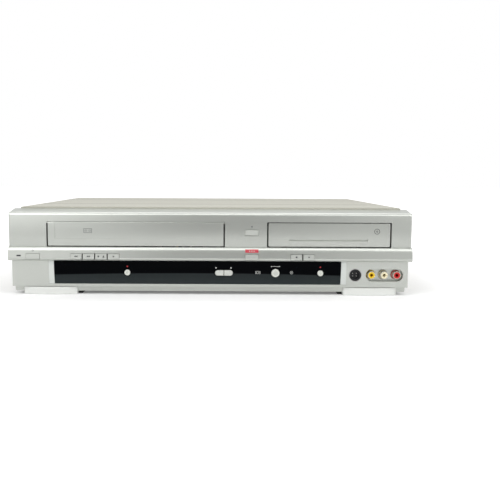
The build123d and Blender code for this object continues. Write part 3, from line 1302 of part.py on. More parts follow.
def drive_frame():
    """Plastic frame: floor with a well for the traverse, side walls and the tray's guide ribs."""
    inner = grown(tray_x(), TRAY_PLAY)
    outer = grown(inner, DRIVE_WALL)
    y = drive_y()
    frame = block(outer, y, (DRIVE_FLOOR, DRIVE_TOP))
    frame += block(outer, (Y_INSIDE + 6, y[0]), (FRONT_BOARD_TOP + 1.5, DRIVE_TOP))
    frame -= block(inner, (Y_FRONT, y[1] - DRIVE_WALL), (DRIVE_FLOOR_TOP, DRIVE_TOP + 1))
    back, height = hinge_line()
    well = around(TRAY_CENTRE + 6, TRAVERSE_WIDTH + 12)
    frame -= block(well, (DISC_Y - 22, back + 6), (DRIVE_FLOOR - 1, DRIVE_FLOOR_TOP + 1))
    frame += tray_guides(inner, y)
    px, py = pinion_place()
    frame += upright(CAPSTAN_RADIUS, px, py, (DRIVE_FLOOR, TRAY_Z - 0.5))
    mx, my = motor_place()
    frame -= upright(2.0, mx, my, (DRIVE_FLOOR - 1, DRIVE_FLOOR_TOP + 1))
    for side in (-1, 1):
        near = TRAY_CENTRE + side * (TRAVERSE_WIDTH / 2 + 3)
        ear = sorted((near, near + side * 3))
        frame += block(ear, around(back, 8), (DRIVE_FLOOR, height + 3.5))
    bridge = around(TRAY_CENTRE, TRAVERSE_WIDTH + 24)
    frame += block(bridge, (back - 4, back + 8), (DRIVE_FLOOR, DRIVE_FLOOR + 1.5))
    start = (TRAY_CENTRE - TRAVERSE_WIDTH, back, height)
    return frame - bar(HINGE_PIN_RADIUS + PIN_PLAY, start, (1, 0, 0), 2 * TRAVERSE_WIDTH)


def tray_guides(inner, y):
    """Ribs under the tray along both walls, and short ones over it."""
    ribs = Part()
    for edge, side in ((inner[0], 1), (inner[1], -1)):
        x = sorted((edge - side * 0.5, edge + side * GUIDE_RIB))
        ribs += block(x, (y[0], y[1] - 1), (TRAY_Z - FIT_GAP - DRIVE_WALL, TRAY_Z - FIT_GAP))
        for index in range(4):
            start = y[0] + index * 42
            ribs += block(x, (start, start + 12), (TRAY_TOP + FIT_GAP, TRAY_TOP + FIT_GAP + 2))
    return ribs


def tray_gear():
    """Belt pulley below, pinion in mesh with the tray's rack above."""
    x, y = pinion_place()
    low = DRIVE_FLOOR_TOP + 0.3
    rim, neck = PULLEY_RADIUS, PULLEY_RADIUS - 1
    top = low + 4.4
    vee = polygon((0, low), (rim, low), (neck, low + 1.2), (neck, top - 1.2), (rim, top), (0, top))
    pulley = Pos(x, y, 0) * revolve(Plane.XZ * vee, Axis.Z)
    teeth = extrude(gear_outline(PINION_TEETH, RACK_MODULE), amount=3.6)
    pinion = Pos(x, y, TRAY_Z - 4.2) * Rot(0, 0, 180) * teeth
    hub = upright(5.0, x, y, (low + 4, TRAY_Z - 4))
    return pulley + pinion + hub - upright(CAPSTAN_RADIUS + PIN_PLAY, x, y, (low - 1, TRAY_Z))


def tray_belt():
    """Drive belt from the motor's pulley round the tray gear's pulley."""
    (x, y), (mx, my) = pinion_place(), motor_place()
    reach = math.hypot(mx - x, my - y)
    turn = math.degrees(math.atan2(my - y, mx - x))
    big, small = PULLEY_RADIUS - 1 + 0.15, MOTOR_PULLEY + 0.15
    loops = []
    for extra in (BELT, 0.0):
        a, b = big + extra, small + extra
        lean = math.acos((a - b) / reach)
        top_a = (a * math.cos(lean), a * math.sin(lean))
        top_b = (reach + b * math.cos(lean), b * math.sin(lean))
        low_a, low_b = (top_a[0], -top_a[1]), (top_b[0], -top_b[1])
        loops.append(make_face([
            Line(top_a, top_b), ThreePointArc(top_b, (reach + b, 0), low_b),
            Line(low_b, low_a), ThreePointArc(low_a, (-a, 0), top_a),
        ]))
    low = DRIVE_FLOOR_TOP + 0.3 + 1.4
    return Pos(x, y, low) * Rot(0, 0, turn) * extrude(loops[0] - loops[1], amount=BELT)


def traverse_y():
    return (DISC_Y - 18, Y_FRONT + LIFT_BACK + 4)


def pickup_chassis():
    """Traverse plate: spindle motor, slide rods for the pick-up, and hinge pins at its back."""
    y = traverse_y()
    z = (TRAVERSE_Z, TRAVERSE_Z + TRAVERSE_SHEET)
    plate = block(around(TRAY_CENTRE, TRAVERSE_WIDTH), y, z)
    window_y = (DISC_Y + TURNTABLE_RADIUS + 2, y[1] - 12)
    plate -= block(around(TRAY_CENTRE, SLOT_WIDTH + 6), window_y, grown(z, 1))
    plate += upright(12.0, TRAY_CENTRE, DISC_Y, (z[0] - 2.0, z[1] + 2.5))
    rod_y = (DISC_Y + TURNTABLE_RADIUS, y[1] - 10)
    for side in (-1, 1):
        x = TRAY_CENTRE + side * ROD_OFFSET
        for end in (rod_y[0] - 1, rod_y[1] - 2):
            plate += block(around(x, 5), (end, end + 3), (z[0], z[1] + ROD_LIFT + 2.5))
        plate += bar(ROD_RADIUS, (x, rod_y[0], z[1] + ROD_LIFT), (0, 1, 0), rod_y[1] - rod_y[0])
        pin_x = TRAY_CENTRE + side * (TRAVERSE_WIDTH / 2 - 2)
        plate += bar(HINGE_PIN_RADIUS, (pin_x, *hinge_line()), (side, 0, 0), 7.5)
    plate -= upright(1.5 + PIN_PLAY, TRAY_CENTRE, DISC_Y, (z[0] - 1, z[1] + 3))
    return plate


def turntable():
    """Disc table with its centring cone and a short spindle in the motor."""
    low = TRAVERSE_Z + TRAVERSE_SHEET + 2.8
    body = upright(TURNTABLE_RADIUS, TRAY_CENTRE, DISC_Y, (low, low + 3.2))
    body += Pos(TRAY_CENTRE, DISC_Y, low + 3.2) * standing_cone(7.4, 5.0, 2.5)
    return body + upright(1.5, TRAY_CENTRE, DISC_Y, (TRAVERSE_Z, low + 1))


def pickup_sled():
    """Pick-up block on two rods, with its lens."""
    z_rod = TRAVERSE_Z + TRAVERSE_SHEET + ROD_LIFT
    y0 = DISC_Y + TURNTABLE_RADIUS + 5
    width = 2 * ROD_OFFSET + 6
    body = block(around(TRAY_CENTRE, width), (y0, y0 + SLED_LENGTH), (z_rod - 2.6, z_rod + 4.4))
    body += upright(7.0, TRAY_CENTRE, y0 + 8, (z_rod + 4, z_rod + 5.8))
    body += upright(LENS_RADIUS, TRAY_CENTRE, y0 + 8, (z_rod + 5, z_rod + 6.4))
    for side in (-1, 1):
        x = TRAY_CENTRE + side * ROD_OFFSET
        body -= bar(ROD_RADIUS + PIN_PLAY, (x, y0 - 1, z_rod), (0, 1, 0), SLED_LENGTH + 4)
    return body


def clamp_z():
    return TRAY_TOP + CLAMP_GAP


def clamp_bridge():
    """Bent steel strip over the tray: it hangs on the frame's walls and holds the clamper."""
    inner = grown(tray_x(), TRAY_PLAY)
    y = around(DISC_Y, BRIDGE_WIDTH)
    z = clamp_z() + 4.4
    t = BRIDGE_SHEET
    bridge = block(inner, y, (z, z + t)) - upright(9.6, TRAY_CENTRE, DISC_Y, (z - 1, z + 2))
    for edge, side in ((inner[0], 1), (inner[1], -1)):
        leg = sorted((edge + side * FIT_GAP, edge + side * (FIT_GAP + t)))
        hook = sorted((edge - side * DRIVE_WALL, edge + side * (FIT_GAP + t)))
        bridge += block(leg, y, (z, DRIVE_TOP + t)) + block(hook, y, (DRIVE_TOP, DRIVE_TOP + t))
    trim = block((inner[0], inner[0] + FIT_GAP), y, (z - 1, DRIVE_TOP))
    return bridge - trim - block((inner[1] - FIT_GAP, inner[1]), y, (z - 1, DRIVE_TOP))


def disc_clamper():
    """Clamper that hangs in the bridge's hole."""
    z = clamp_z()
    body = upright(14.0, TRAY_CENTRE, DISC_Y, (z, z + 3))
    body -= upright(8.0, TRAY_CENTRE, DISC_Y, (z - 1, z + 1.8))
    body += upright(9.0, TRAY_CENTRE, DISC_Y, (z + 2.5, z + 6))
    return body + upright(13.0, TRAY_CENTRE, DISC_Y, (z + 5.7, z + 7.2))


# ---------------------------------------------------------------- write every piece
def all_pieces():
    pieces = {
        "top_cover": top_cover(),
        "base_chassis": base_chassis(),
        "rear_panel": rear_panel(),
        "front_bezel": front_bezel(),
        "display_window": display_window(),
        "window_strips": window_strips(),
        "front_feet": front_feet(),
        "rear_feet": rear_feet(),
        "cover_screws": cover_screws(),
        "standby_lamp": standby_lamp(),
        "open_close_button": open_close_button(),
        "program_down_button": program_button(-1),
        "program_up_button": program_button(1),
        "s_video_socket": s_video_socket(),
        "yellow_phono_jack": front_phono_jack(PHONO_X[0]),
        "white_phono_jack": front_phono_jack(PHONO_X[1]),
        "red_phono_jack": front_phono_jack(PHONO_X[2]),
        "cassette_door": cassette_door(),
        "carriage_frame": carriage_frame(),
        "cassette_holder": cassette_holder(),
        "deck_plate": deck_plate(),
        "lower_drum": lower_drum(),
        "upper_drum": upper_drum(),
        "capstan": capstan(),
        "supply_reel": reel(-1),
        "takeup_reel": reel(1),
        "pinch_arm": pinch_arm(),
        "pinch_roller": pinch_roller(),
        "supply_post": guide_post(-1),
        "takeup_post": guide_post(1),
        "tape_heads": tape_heads(),
        "dc_motors": dc_motors(),
        "drive_frame": drive_frame(),
        "disc_tray": disc_tray(),
        "tray_front": tray_front(),
        "tray_gear": tray_gear(),
        "tray_belt": tray_belt(),
        "pickup_chassis": pickup_chassis(),
        "turntable": turntable(),
        "pickup_sled": pickup_sled(),
        "clamp_bridge": clamp_bridge(),
        "disc_clamper": disc_clamper(),
        "main_board": main_board(),
        "power_board": power_board(),
        "front_board": front_board(),
        "tuner_module": tuner_module(),
        "scart_sockets": scart_sockets(),
        "rear_phono_jacks": rear_phono_jacks(),
        "mains_inlet": mains_inlet(),
    }
    for name, span in key_spans().items():
        pieces[name] = band_button(span)
    for name, (x, radius) in round_keys().items():
        pieces[name] = round_button(x, radius)
    return pieces


os.makedirs("parts", exist_ok=True)
for node, shape in all_pieces().items():
    export_step(shape, os.path.join("parts", node + ".step"))
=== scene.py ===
"""Dresses a full-width disc and tape deck: finishes, printed marks, small hardware, lights and view."""
import logging
import math
from collections.abc import Callable
from dataclasses import dataclass
from enum import Enum

import bpy
from mathutils import Euler, Matrix, Vector


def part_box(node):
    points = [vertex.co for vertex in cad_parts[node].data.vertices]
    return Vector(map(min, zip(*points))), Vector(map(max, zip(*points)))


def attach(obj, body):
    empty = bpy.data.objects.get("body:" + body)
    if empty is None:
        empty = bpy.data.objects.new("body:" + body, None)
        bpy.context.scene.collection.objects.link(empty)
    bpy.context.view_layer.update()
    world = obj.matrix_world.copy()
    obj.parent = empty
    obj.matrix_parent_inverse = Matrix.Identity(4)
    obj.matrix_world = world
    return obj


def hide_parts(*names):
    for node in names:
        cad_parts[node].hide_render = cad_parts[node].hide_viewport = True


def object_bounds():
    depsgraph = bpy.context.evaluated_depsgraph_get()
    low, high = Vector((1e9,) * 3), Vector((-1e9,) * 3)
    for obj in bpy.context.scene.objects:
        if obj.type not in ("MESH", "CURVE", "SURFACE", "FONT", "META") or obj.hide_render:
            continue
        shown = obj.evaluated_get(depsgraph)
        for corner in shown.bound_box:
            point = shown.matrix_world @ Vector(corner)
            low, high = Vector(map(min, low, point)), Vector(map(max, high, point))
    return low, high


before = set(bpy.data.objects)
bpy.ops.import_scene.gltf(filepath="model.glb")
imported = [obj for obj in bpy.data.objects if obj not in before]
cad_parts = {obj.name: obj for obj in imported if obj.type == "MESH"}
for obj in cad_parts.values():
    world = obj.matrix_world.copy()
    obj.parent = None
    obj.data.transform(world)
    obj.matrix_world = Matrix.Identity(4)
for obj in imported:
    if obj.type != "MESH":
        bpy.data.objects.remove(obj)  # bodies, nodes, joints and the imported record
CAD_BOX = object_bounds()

LOG = logging.getLogger("deck")
MM = 0.001
Colour = tuple[float, float, float]
Stretch = tuple[float, float, float]  # factors on X, Y and Z
MADE: dict[str, bpy.types.Material] = {}  # finishes that already have their material


def paint(red: int, green: int, blue: int) -> Colour:
    """The linear colour of a screen colour.

    Args:
        red: screen value, 0 to 255.
        green: screen value, 0 to 255.
        blue: screen value, 0 to 255.

    Returns:
        Linear red, green and blue, 0 to 1.
    """
    def linear(value: int) -> float:
        """One channel."""
        share = value / 255
        return share / 12.92 if share <= 0.04045 else ((share + 0.055) / 1.055) ** 2.4
    return linear(red), linear(green), linear(blue)


# ---------------------------------------------------------------- shader maths
class Wire:
    """A value in a node tree; Python's arithmetic on it adds Math nodes."""

    def __init__(self, sheet: "NodeSheet", socket: bpy.types.NodeSocket) -> None:
        """Keeps where the value comes from.

        Args:
            sheet: the tree that the value is in.
            socket: the output that gives it.
        """
        self.sheet = sheet
        self.socket = socket

    def math(self, operation: str, first: "Wire | float", second: "Wire | float" = 0.0) -> "Wire":
        """One Math node.

        Args:
            operation: the node's operation.
            first: its first value.
            second: its second value.

        Returns:
            The node's result.
        """
        node = self.sheet.add("ShaderNodeMath", {"operation": operation}, {0: first, 1: second})
        return Wire(self.sheet, node.outputs[0])

    def __add__(self, other: "Wire | float") -> "Wire":
        """self + other."""
        return self.math("ADD", self, other)

    __radd__ = __add__

    def __sub__(self, other: "Wire | float") -> "Wire":
        """self - other."""
        return self.math("SUBTRACT", self, other)

    def __rsub__(self, other: float) -> "Wire":
        """other - self."""
        return self.math("SUBTRACT", other, self)

    def __mul__(self, other: "Wire | float") -> "Wire":
        """self * other."""
        return self.math("MULTIPLY", self, other)

    __rmul__ = __mul__

    def __truediv__(self, other: "Wire | float") -> "Wire":
        """self / other."""
        return self.math("DIVIDE", self, other)

    def __pow__(self, other: float) -> "Wire":
        """self ** other."""
        return self.math("POWER", self, other)

    def __abs__(self) -> "Wire":
        """The value without its sign."""
        return self.math("ABSOLUTE", self)


class NodeSheet:
    """A node tree that grows from the end towards the front."""

    def __init__(self, tree: bpy.types.NodeTree) -> None:
        """Keeps the tree.

        Args:
            tree: the node tree to add to.
        """
        self.tree = tree
        self._axes: tuple[Wire, Wire, Wire] | None = None

    def add(self, kind: str, settings: dict | None = None, sockets: dict | None = None) -> bpy.types.Node:
        """Adds a node.

        Args:
            kind: the node's type.
            settings: its settings, which are set first.
            sockets: what its inputs get, by name or index: a value or a Wire.

        Returns:
            The node.
        """
        node = self.tree.nodes.new(kind)
        for name, value in (settings or {}).items():
            setattr(node, name, value)
        for key, value in (sockets or {}).items():
            self.feed(node.inputs[key], value)
        return node

    def feed(self, socket: bpy.types.NodeSocket, value: "Wire | float | tuple") -> None:
        """Links or sets an input.

        Args:
            socket: the input.
            value: a Wire to link, or a plain value.
        """
        if isinstance(value, Wire):
            self.tree.links.new(value.socket, socket)
        elif isinstance(value, tuple) and socket.type == "RGBA":
            socket.default_value = (*value, 1.0)
        else:
            socket.default_value = value

    def place(self) -> Wire:
        """The point on the object, in its own frame."""
        return Wire(self, self.add("ShaderNodeTexCoord").outputs["Object"])

    def axes(self) -> tuple[Wire, Wire, Wire]:
        """The point's X, Y and Z."""
        if self._axes is None:
            split = self.add("ShaderNodeSeparateXYZ", sockets={0: self.place()})
            self._axes = tuple(Wire(self, output) for output in split.outputs)
        return self._axes

    def noise(self, scale: float, detail: float = 2.0, stretch: Stretch = (1.0, 1.0, 1.0)) -> Wire:
        """Smooth noise between 0 and 1.

        Args:
            scale: its cells per metre.
            detail: octaves.
            stretch: factors on X, Y and Z, small where the pattern is long.

        Returns:
            The noise's value.
        """
        spot = self.add("ShaderNodeMapping", sockets={"Vector": self.place(), "Scale": stretch})
        node = self.add("ShaderNodeTexNoise", sockets={
            "Vector": Wire(self, spot.outputs[0]), "Scale": scale, "Detail": detail})
        return Wire(self, node.outputs[0])

    def cells(self, scale: float, feature: str = "F1") -> Wire:
        """Distance pattern of scattered cells.

        Args:
            scale: cells per metre.
            feature: which distance.

        Returns:
            The distance.
        """
        node = self.add("ShaderNodeTexVoronoi", {"feature": feature}, {
            "Vector": self.place(), "Scale": scale})
        return Wire(self, node.outputs["Distance"])

    def ramp(self, value: Wire, low: float, high: float) -> Wire:
        """A smooth step.

        Args:
            value: what steps.
            low: where the result is 0.
            high: where the result is 1; it may be the smaller of the two.

        Returns:
            The step, 0 to 1.
        """
        node = self.add("ShaderNodeMapRange", {"interpolation_type": "SMOOTHSTEP"}, {
            "Value": value, "From Min": min(low, high), "From Max": max(low, high),
            "To Min": 0.0 if low < high else 1.0, "To Max": 1.0 if low < high else 0.0})
        return Wire(self, node.outputs[0])

    def within(self, value: Wire, low: float, high: float, soft: float) -> Wire:
        """A band between two values.

        Args:
            value: what is tested.
            low: the band's lower edge.
            high: its upper edge.
            soft: how wide each edge is, to either side.

        Returns:
            1 inside the band, 0 outside.
        """
        return self.ramp(value, low - soft, low + soft) * self.ramp(value, high + soft, high - soft)

    def blend(self, share: "Wire | float", first: "Wire | Colour", second: "Wire | Colour") -> Wire:
        """A mix of two colours.

        Args:
            share: 0 gives the first, 1 the second.
            first: a colour.
            second: a colour.

        Returns:
            The mixed colour.
        """
        node = self.add("ShaderNodeMix", {"data_type": "RGBA"}, {0: share, 6: first, 7: second})
        return Wire(self, node.outputs[2])

    def radius(self, centre_x: float, centre_z: float) -> Wire:
        """The distance from an axis that runs front to back.

        Args:
            centre_x: the axis's place across.
            centre_z: its height.

        Returns:
            The distance.
        """
        x, _, z = self.axes()
        return ((x - centre_x) ** 2.0 + (z - centre_z) ** 2.0) ** 0.5

    def relief(self, height: Wire, depth: float, strength: float = 1.0) -> Wire:
        """A normal that follows a height.

        Args:
            height: the height, 0 to 1.
            depth: how far 1 stands up, in metres.
            strength: how much of it shows.

        Returns:
            The normal.
        """
        node = self.add("ShaderNodeBump", sockets={
            "Strength": strength, "Distance": depth, "Height": height})
        return Wire(self, node.outputs[0])


# ---------------------------------------------------------------- finishes
@dataclass(frozen=True)
class Finish:
    """A surface: its colour, how rough and how metallic it is."""

    name: str
    colour: Colour
    roughness: float
    metallic: float = 0.0
    gloss_level: float = 0.5

    def material(self) -> bpy.types.Material:
        """The finish as a material, made once."""
        if self.name in MADE:
            return MADE[self.name]
        material = MADE[self.name] = bpy.data.materials.new(self.name)
        material.use_nodes = True
        sheet = NodeSheet(material.node_tree)
        shader = material.node_tree.nodes["Principled BSDF"]
        shader.inputs["Base Color"].default_value = (*self.colour, 1.0)
        shader.inputs["Roughness"].default_value = self.roughness
        shader.inputs["Metallic"].default_value = self.metallic
        shader.inputs["Specular IOR Level"].default_value = self.gloss_level
        for name, value in self.draw(sheet).items():
            sheet.feed(shader.inputs[name], value)
        return material

    def draw(self, sheet: NodeSheet) -> dict[str, Wire]:
        """The shader inputs that vary over the surface.

        Args:
            sheet: the material's nodes.

        Returns:
            Input name to value.
        """
        raise NotImplementedError

    def tinted(self, sheet: NodeSheet, share: Wire, spread: float,
               colour: "Wire | Colour | None" = None) -> Wire:
        """The colour made lighter and darker by a pattern.

        Args:
            sheet: the material's nodes.
            share: the pattern, 0 to 1.
            spread: the most that it changes the colour by, as a share.
            colour: what is tinted, or None for the finish's own colour.

        Returns:
            The colour.
        """
        base = self.colour if colour is None else colour
        level = 1.0 - spread + share * (2.0 * spread)
        grey = sheet.add("ShaderNodeCombineColor", sockets={0: level, 1: level, 2: level})
        node = sheet.add("ShaderNodeMix", {"data_type": "RGBA", "blend_type": "MULTIPLY"}, {
            0: 1.0, 6: base, 7: Wire(sheet, grey.outputs[0])})
        return Wire(sheet, node.outputs[2])


@dataclass(frozen=True)
class SilverPaint(Finish):
    """Metal-flake paint on a moulding whose face leans back a little towards its top."""

    flake_per_metre: float = 5200.0
    flake_spread: float = 0.07
    cloud_per_metre: float = 9.0
    cloud_spread: float = 0.015
    peel_per_metre: float = 700.0
    peel_depth: float = 0.012 * MM
    crown_foot: float = 60.7 * MM  # the face leans back above this
    crown_rise: float = 18.0 * MM
    crown_depth: float = 1.3 * MM

    def draw(self, sheet: NodeSheet) -> dict[str, Wire]:
        """Fine flakes, a faint cloud, the paint's orange peel and the face's slow lean."""
        flake = sheet.cells(self.flake_per_metre)
        cloud = sheet.noise(self.cloud_per_metre, 3.0)
        peel = sheet.noise(self.peel_per_metre, 1.0)
        above = sheet.axes()[2] - self.crown_foot
        rise = above.math("MAXIMUM", above, 0.0) / self.crown_rise
        height = peel * (self.peel_depth / self.crown_depth) - rise ** 2.0
        shade = self.tinted(sheet, flake, self.flake_spread)
        return {
            "Base Color": self.tinted(sheet, cloud, self.cloud_spread, shade),
            "Roughness": self.roughness - 0.03 + cloud * 0.04 + flake * 0.02,
            "Normal": sheet.relief(height, self.crown_depth),
        }


@dataclass(frozen=True)
class Crease:
    """A line pressed across the cover, darkened along its slope as painted shade."""

    place: float  # its middle, from front to back
    half: float  # half its width
    darker: float  # how much of the painted shade's colour shows


@dataclass(frozen=True)
class Enamel(Finish):
    """Textured stove enamel on sheet steel."""

    grain_per_metre: float = 1500.0
    grain_depth: float = 0.05 * MM
    speckle_per_metre: float = 3100.0
    rub_per_metre: float = 14.0
    creases: tuple[Crease, ...] = (Crease(-62.2 * MM, 4.0 * MM, 0.42), Crease(81.8 * MM, 5.0 * MM, 0.34))
    edge_share: float = 0.3  # soft part of a crease's half width
    # colour of the painted shade along the pressed lines
    crease_shade_colour: Colour = paint(70, 68, 58)
    top: float = 92.0 * MM
    top_edge: float = 1.0 * MM

    def draw(self, sheet: NodeSheet) -> dict[str, Wire]:
        """Rounded grains, a speckle, a little rubbed sheen, and painted shade along the pressed lines on the
        top.
        """
        grain = sheet.noise(self.grain_per_metre, 3.0)
        speckle = sheet.cells(self.speckle_per_metre)
        rub = sheet.noise(self.rub_per_metre, 4.0)
        shade = self.tinted(sheet, speckle, 0.035)
        _, y, z = sheet.axes()
        on_top = sheet.ramp(z, self.top - self.top_edge, self.top)
        # painted shade: the pressed lines on the top darkened
        for crease in self.creases:
            front, back = crease.place - crease.half, crease.place + crease.half
            crease_shade = sheet.within(y, front, back, crease.half * self.edge_share) * on_top
            shade = sheet.blend(crease_shade * crease.darker, shade, self.crease_shade_colour)
        return {
            "Base Color": self.tinted(sheet, rub, 0.012, shade),
            "Roughness": self.roughness - 0.05 + rub * 0.08 + grain * 0.04,
            "Normal": sheet.relief(grain, self.grain_depth, 0.8),
        }


@dataclass(frozen=True)
class ZincSheet(Finish):
    """Zinc-plated sheet steel, faintly rolled along one direction."""

    roll: Stretch = (0.02, 1.0, 1.0)
    lines_per_metre: float = 2600.0
    line_depth: float = 0.006 * MM
    patches_per_metre: float = 160.0
    dull_per_metre: float = 45.0

    def draw(self, sheet: NodeSheet) -> dict[str, Wire]:
        """Rolling lines, crystal patches and dull spots."""
        lines = sheet.noise(self.lines_per_metre, 2.0, self.roll)
        patches = sheet.cells(self.patches_per_metre)
        dull = sheet.noise(self.dull_per_metre, 4.0)
        shade = self.tinted(sheet, patches, 0.06)
        return {
            "Base Color": self.tinted(sheet, lines, 0.05, shade),
            "Roughness": self.roughness - 0.06 + dull * 0.16 + patches * 0.05,
            "Normal": sheet.relief(lines, self.line_depth, 0.6),
        }


@dataclass(frozen=True)
class Moulding(Finish):
    """Moulded plastic with a fine spark-eroded grain."""

    grain_per_metre: float = 3000.0
    grain_depth: float = 0.02 * MM
    flow_per_metre: float = 35.0
    flow_stretch: Stretch = (1.0, 1.0, 0.3)
    flow_spread: float = 0.04

    def draw(self, sheet: NodeSheet) -> dict[str, Wire]:
        """Grain, and a slow change of colour and gloss."""
        grain = sheet.noise(self.grain_per_metre, 2.0)
        flow = sheet.noise(self.flow_per_metre, 3.0, self.flow_stretch)
        return {
            "Base Color": self.tinted(sheet, flow, self.flow_spread),
            "Roughness": self.roughness - 0.04 + flow * 0.06 + grain * 0.03,
            "Normal": sheet.relief(grain, self.grain_depth, 0.7),
        }


@dataclass(frozen=True)
class SmokedWindow(Finish):
    """Near-black window: clear in its upper part; below a slightly bowed line, a dark grey painted
    reflection of the floor.
    """

    # colour of the painted reflection of the floor, below the bowed line
    floor_reflection_colour: Colour = paint(47, 52, 53)
    reflection_line_height: float = 23.6 * MM
    bow_centre: float = -12.0 * MM
    bow: float = 0.085  # how far the line drops, per metre squared
    line_edge: float = 0.35 * MM
    reflection_fall_heights: tuple[float, float] = (24.0 * MM, 11.0 * MM)
    reflection_fall_spread: float = 0.14
    haze_per_metre: float = 60.0

    def draw(self, sheet: NodeSheet) -> dict[str, Wire]:
        """The painted floor reflection's edge bows up in the middle; the painted reflection lightens a
        little downwards.
        """
        x, _, z = sheet.axes()
        edge = self.reflection_line_height - (x - self.bow_centre) ** 2.0 * self.bow
        # painted reflection of the floor: dark grey below the bowed line, lighter further down
        reflection_share = sheet.ramp(z - edge, self.line_edge, -self.line_edge)
        reflection_fall = sheet.ramp(z, *self.reflection_fall_heights)
        haze = sheet.noise(self.haze_per_metre, 3.0)
        grey = self.tinted(sheet, reflection_fall, self.reflection_fall_spread, self.floor_reflection_colour)
        return {
            "Base Color": sheet.blend(reflection_share, self.colour, grey),
            "Roughness": self.roughness + haze * 0.03 + reflection_share * 0.05,
        }


@dataclass(frozen=True)
class TurnedMetal(Finish):
    """Metal turned on a lathe about an upright axis that may lean."""

    centre: tuple[float, float] = (0.0, 0.0)
    pitch: float = 0.35 * MM
    groove_depth: float = 0.004 * MM
    cloud_per_metre: float = 120.0

    def draw(self, sheet: NodeSheet) -> dict[str, Wire]:
        """Fine rings about the axis and up its side."""
        x, y, z = sheet.axes()
        reach = ((x - self.centre[0]) ** 2.0 + (y - self.centre[1]) ** 2.0) ** 0.5
        ring = (reach + z) * (2.0 * math.pi / self.pitch)
        groove = ring.math("SINE", ring) * 0.5 + 0.5
        cloud = sheet.noise(self.cloud_per_metre, 3.0)
        return {
            "Base Color": self.tinted(sheet, groove, 0.05),
            "Roughness": self.roughness - 0.03 + cloud * 0.08,
            "Normal": sheet.relief(groove, self.groove_depth, 0.6),
        }


@dataclass(frozen=True)
class Rubber(Finish):
    """Dull rubber with dust in its pores."""

    pores_per_metre: float = 2200.0
    pore_depth: float = 0.03 * MM
    bloom_per_metre: float = 90.0
    bloom_spread: float = 0.25

    def draw(self, sheet: NodeSheet) -> dict[str, Wire]:
        """Pores and a grey bloom."""
        pores = sheet.noise(self.pores_per_metre, 3.0)
        bloom = sheet.noise(self.bloom_per_metre, 4.0)
        return {
            "Base Color": self.tinted(sheet, bloom, self.bloom_spread),
            "Roughness": self.roughness - 0.05 + pores * 0.1,
            "Normal": sheet.relief(pores, self.pore_depth, 0.8),
        }


class Facing(Enum):
    """Which way a circuit board's parts stand up."""

    UP = 2
    FRONT = 1


@dataclass(frozen=True)
class LacqueredBoard(Finish):
    """Circuit board: green lacquer over copper tracks, with dark parts standing on it."""

    facing: Facing = Facing.UP
    surface: float = 0.0
    part_colour: Colour = paint(34, 35, 37)
    part_edge: tuple[float, float] = (0.05 * MM, 0.25 * MM)
    track_colour: Colour = paint(92, 128, 70)
    tracks_per_metre: float = 260.0
    track_edge: tuple[float, float] = (0.05, 0.09)
    track_depth: float = 0.03 * MM
    grain_per_metre: float = 900.0
    grain_spread: float = 0.3

    def draw(self, sheet: NodeSheet) -> dict[str, Wire]:
        """Tracks below the surface's level; parts beyond it."""
        level = sheet.axes()[self.facing.value]
        sign = 1.0 if self.facing is Facing.UP else -1.0
        parts = sheet.ramp((level - self.surface) * sign, *self.part_edge)
        tracks = sheet.ramp(sheet.cells(self.tracks_per_metre, "DISTANCE_TO_EDGE"), *self.track_edge)
        copper = sheet.blend(tracks, self.track_colour, self.colour)
        grain = sheet.noise(self.grain_per_metre, 2.0)
        dark = self.tinted(sheet, grain, self.grain_spread, self.part_colour)
        return {
            "Base Color": sheet.blend(parts, copper, dark),
            "Roughness": self.roughness + parts * 0.2,
            "Normal": sheet.relief(tracks * (1.0 - parts), self.track_depth),
        }


@dataclass(frozen=True)
class PhonoJack(Finish):
    """Coloured insulator inside a nickel sleeve, on a black base."""

    centre: tuple[float, float] = (0.0, 0.0)
    sleeve_inside: float = 3.55 * MM
    sleeve_outside: float = 4.3 * MM
    base_front: float = -168.6 * MM
    ring_edge: float = 0.04 * MM
    nickel: Colour = paint(205, 202, 190)
    base_colour: Colour = paint(26, 26, 27)
    wear_per_metre: float = 1500.0

    def draw(self, sheet: NodeSheet) -> dict[str, Wire]:
        """Rings of metal and plastic by their distance from the jack's axis."""
        reach = sheet.radius(*self.centre)
        _, y, _ = sheet.axes()
        metal = sheet.within(reach, self.sleeve_inside, self.sleeve_outside, self.ring_edge)
        base = sheet.ramp(y, self.base_front - self.ring_edge, self.base_front + self.ring_edge)
        wear = sheet.noise(self.wear_per_metre, 3.0)
        plastic = sheet.blend(base, self.tinted(sheet, wear, 0.05), self.base_colour)
        front_metal = metal * (1.0 - base)
        return {
            "Base Color": sheet.blend(front_metal, plastic, self.nickel),
            "Roughness": self.roughness - front_metal * 0.1 + wear * 0.05,
            "Metallic": front_metal * 0.9,
        }


@dataclass(frozen=True)
class KeyCap(Finish):
    """Moulded key, with a round dish where it has one."""

    centre: tuple[float, float] = (0.0, 0.0)
    dish: float = 0.0  # the dish's radius, or 0 for none
    dish_edge: float = 0.35 * MM
    dish_spread: float = 0.10
    grain_per_metre: float = 2600.0
    grain_depth: float = 0.01 * MM

    def draw(self, sheet: NodeSheet) -> dict[str, Wire]:
        """Fine grain, and the dish darker than the rim round it."""
        grain = sheet.noise(self.grain_per_metre, 2.0)
        shade = self.tinted(sheet, grain, 0.03)
        if self.dish:
            reach = sheet.radius(*self.centre)
            inside = sheet.ramp(reach, self.dish + self.dish_edge, self.dish - self.dish_edge)
            shade = self.tinted(sheet, 1.0 - inside, self.dish_spread, shade)
        return {
            "Base Color": shade,
            "Roughness": self.roughness + grain * 0.05,
            "Normal": sheet.relief(grain, self.grain_depth, 0.5),
        }


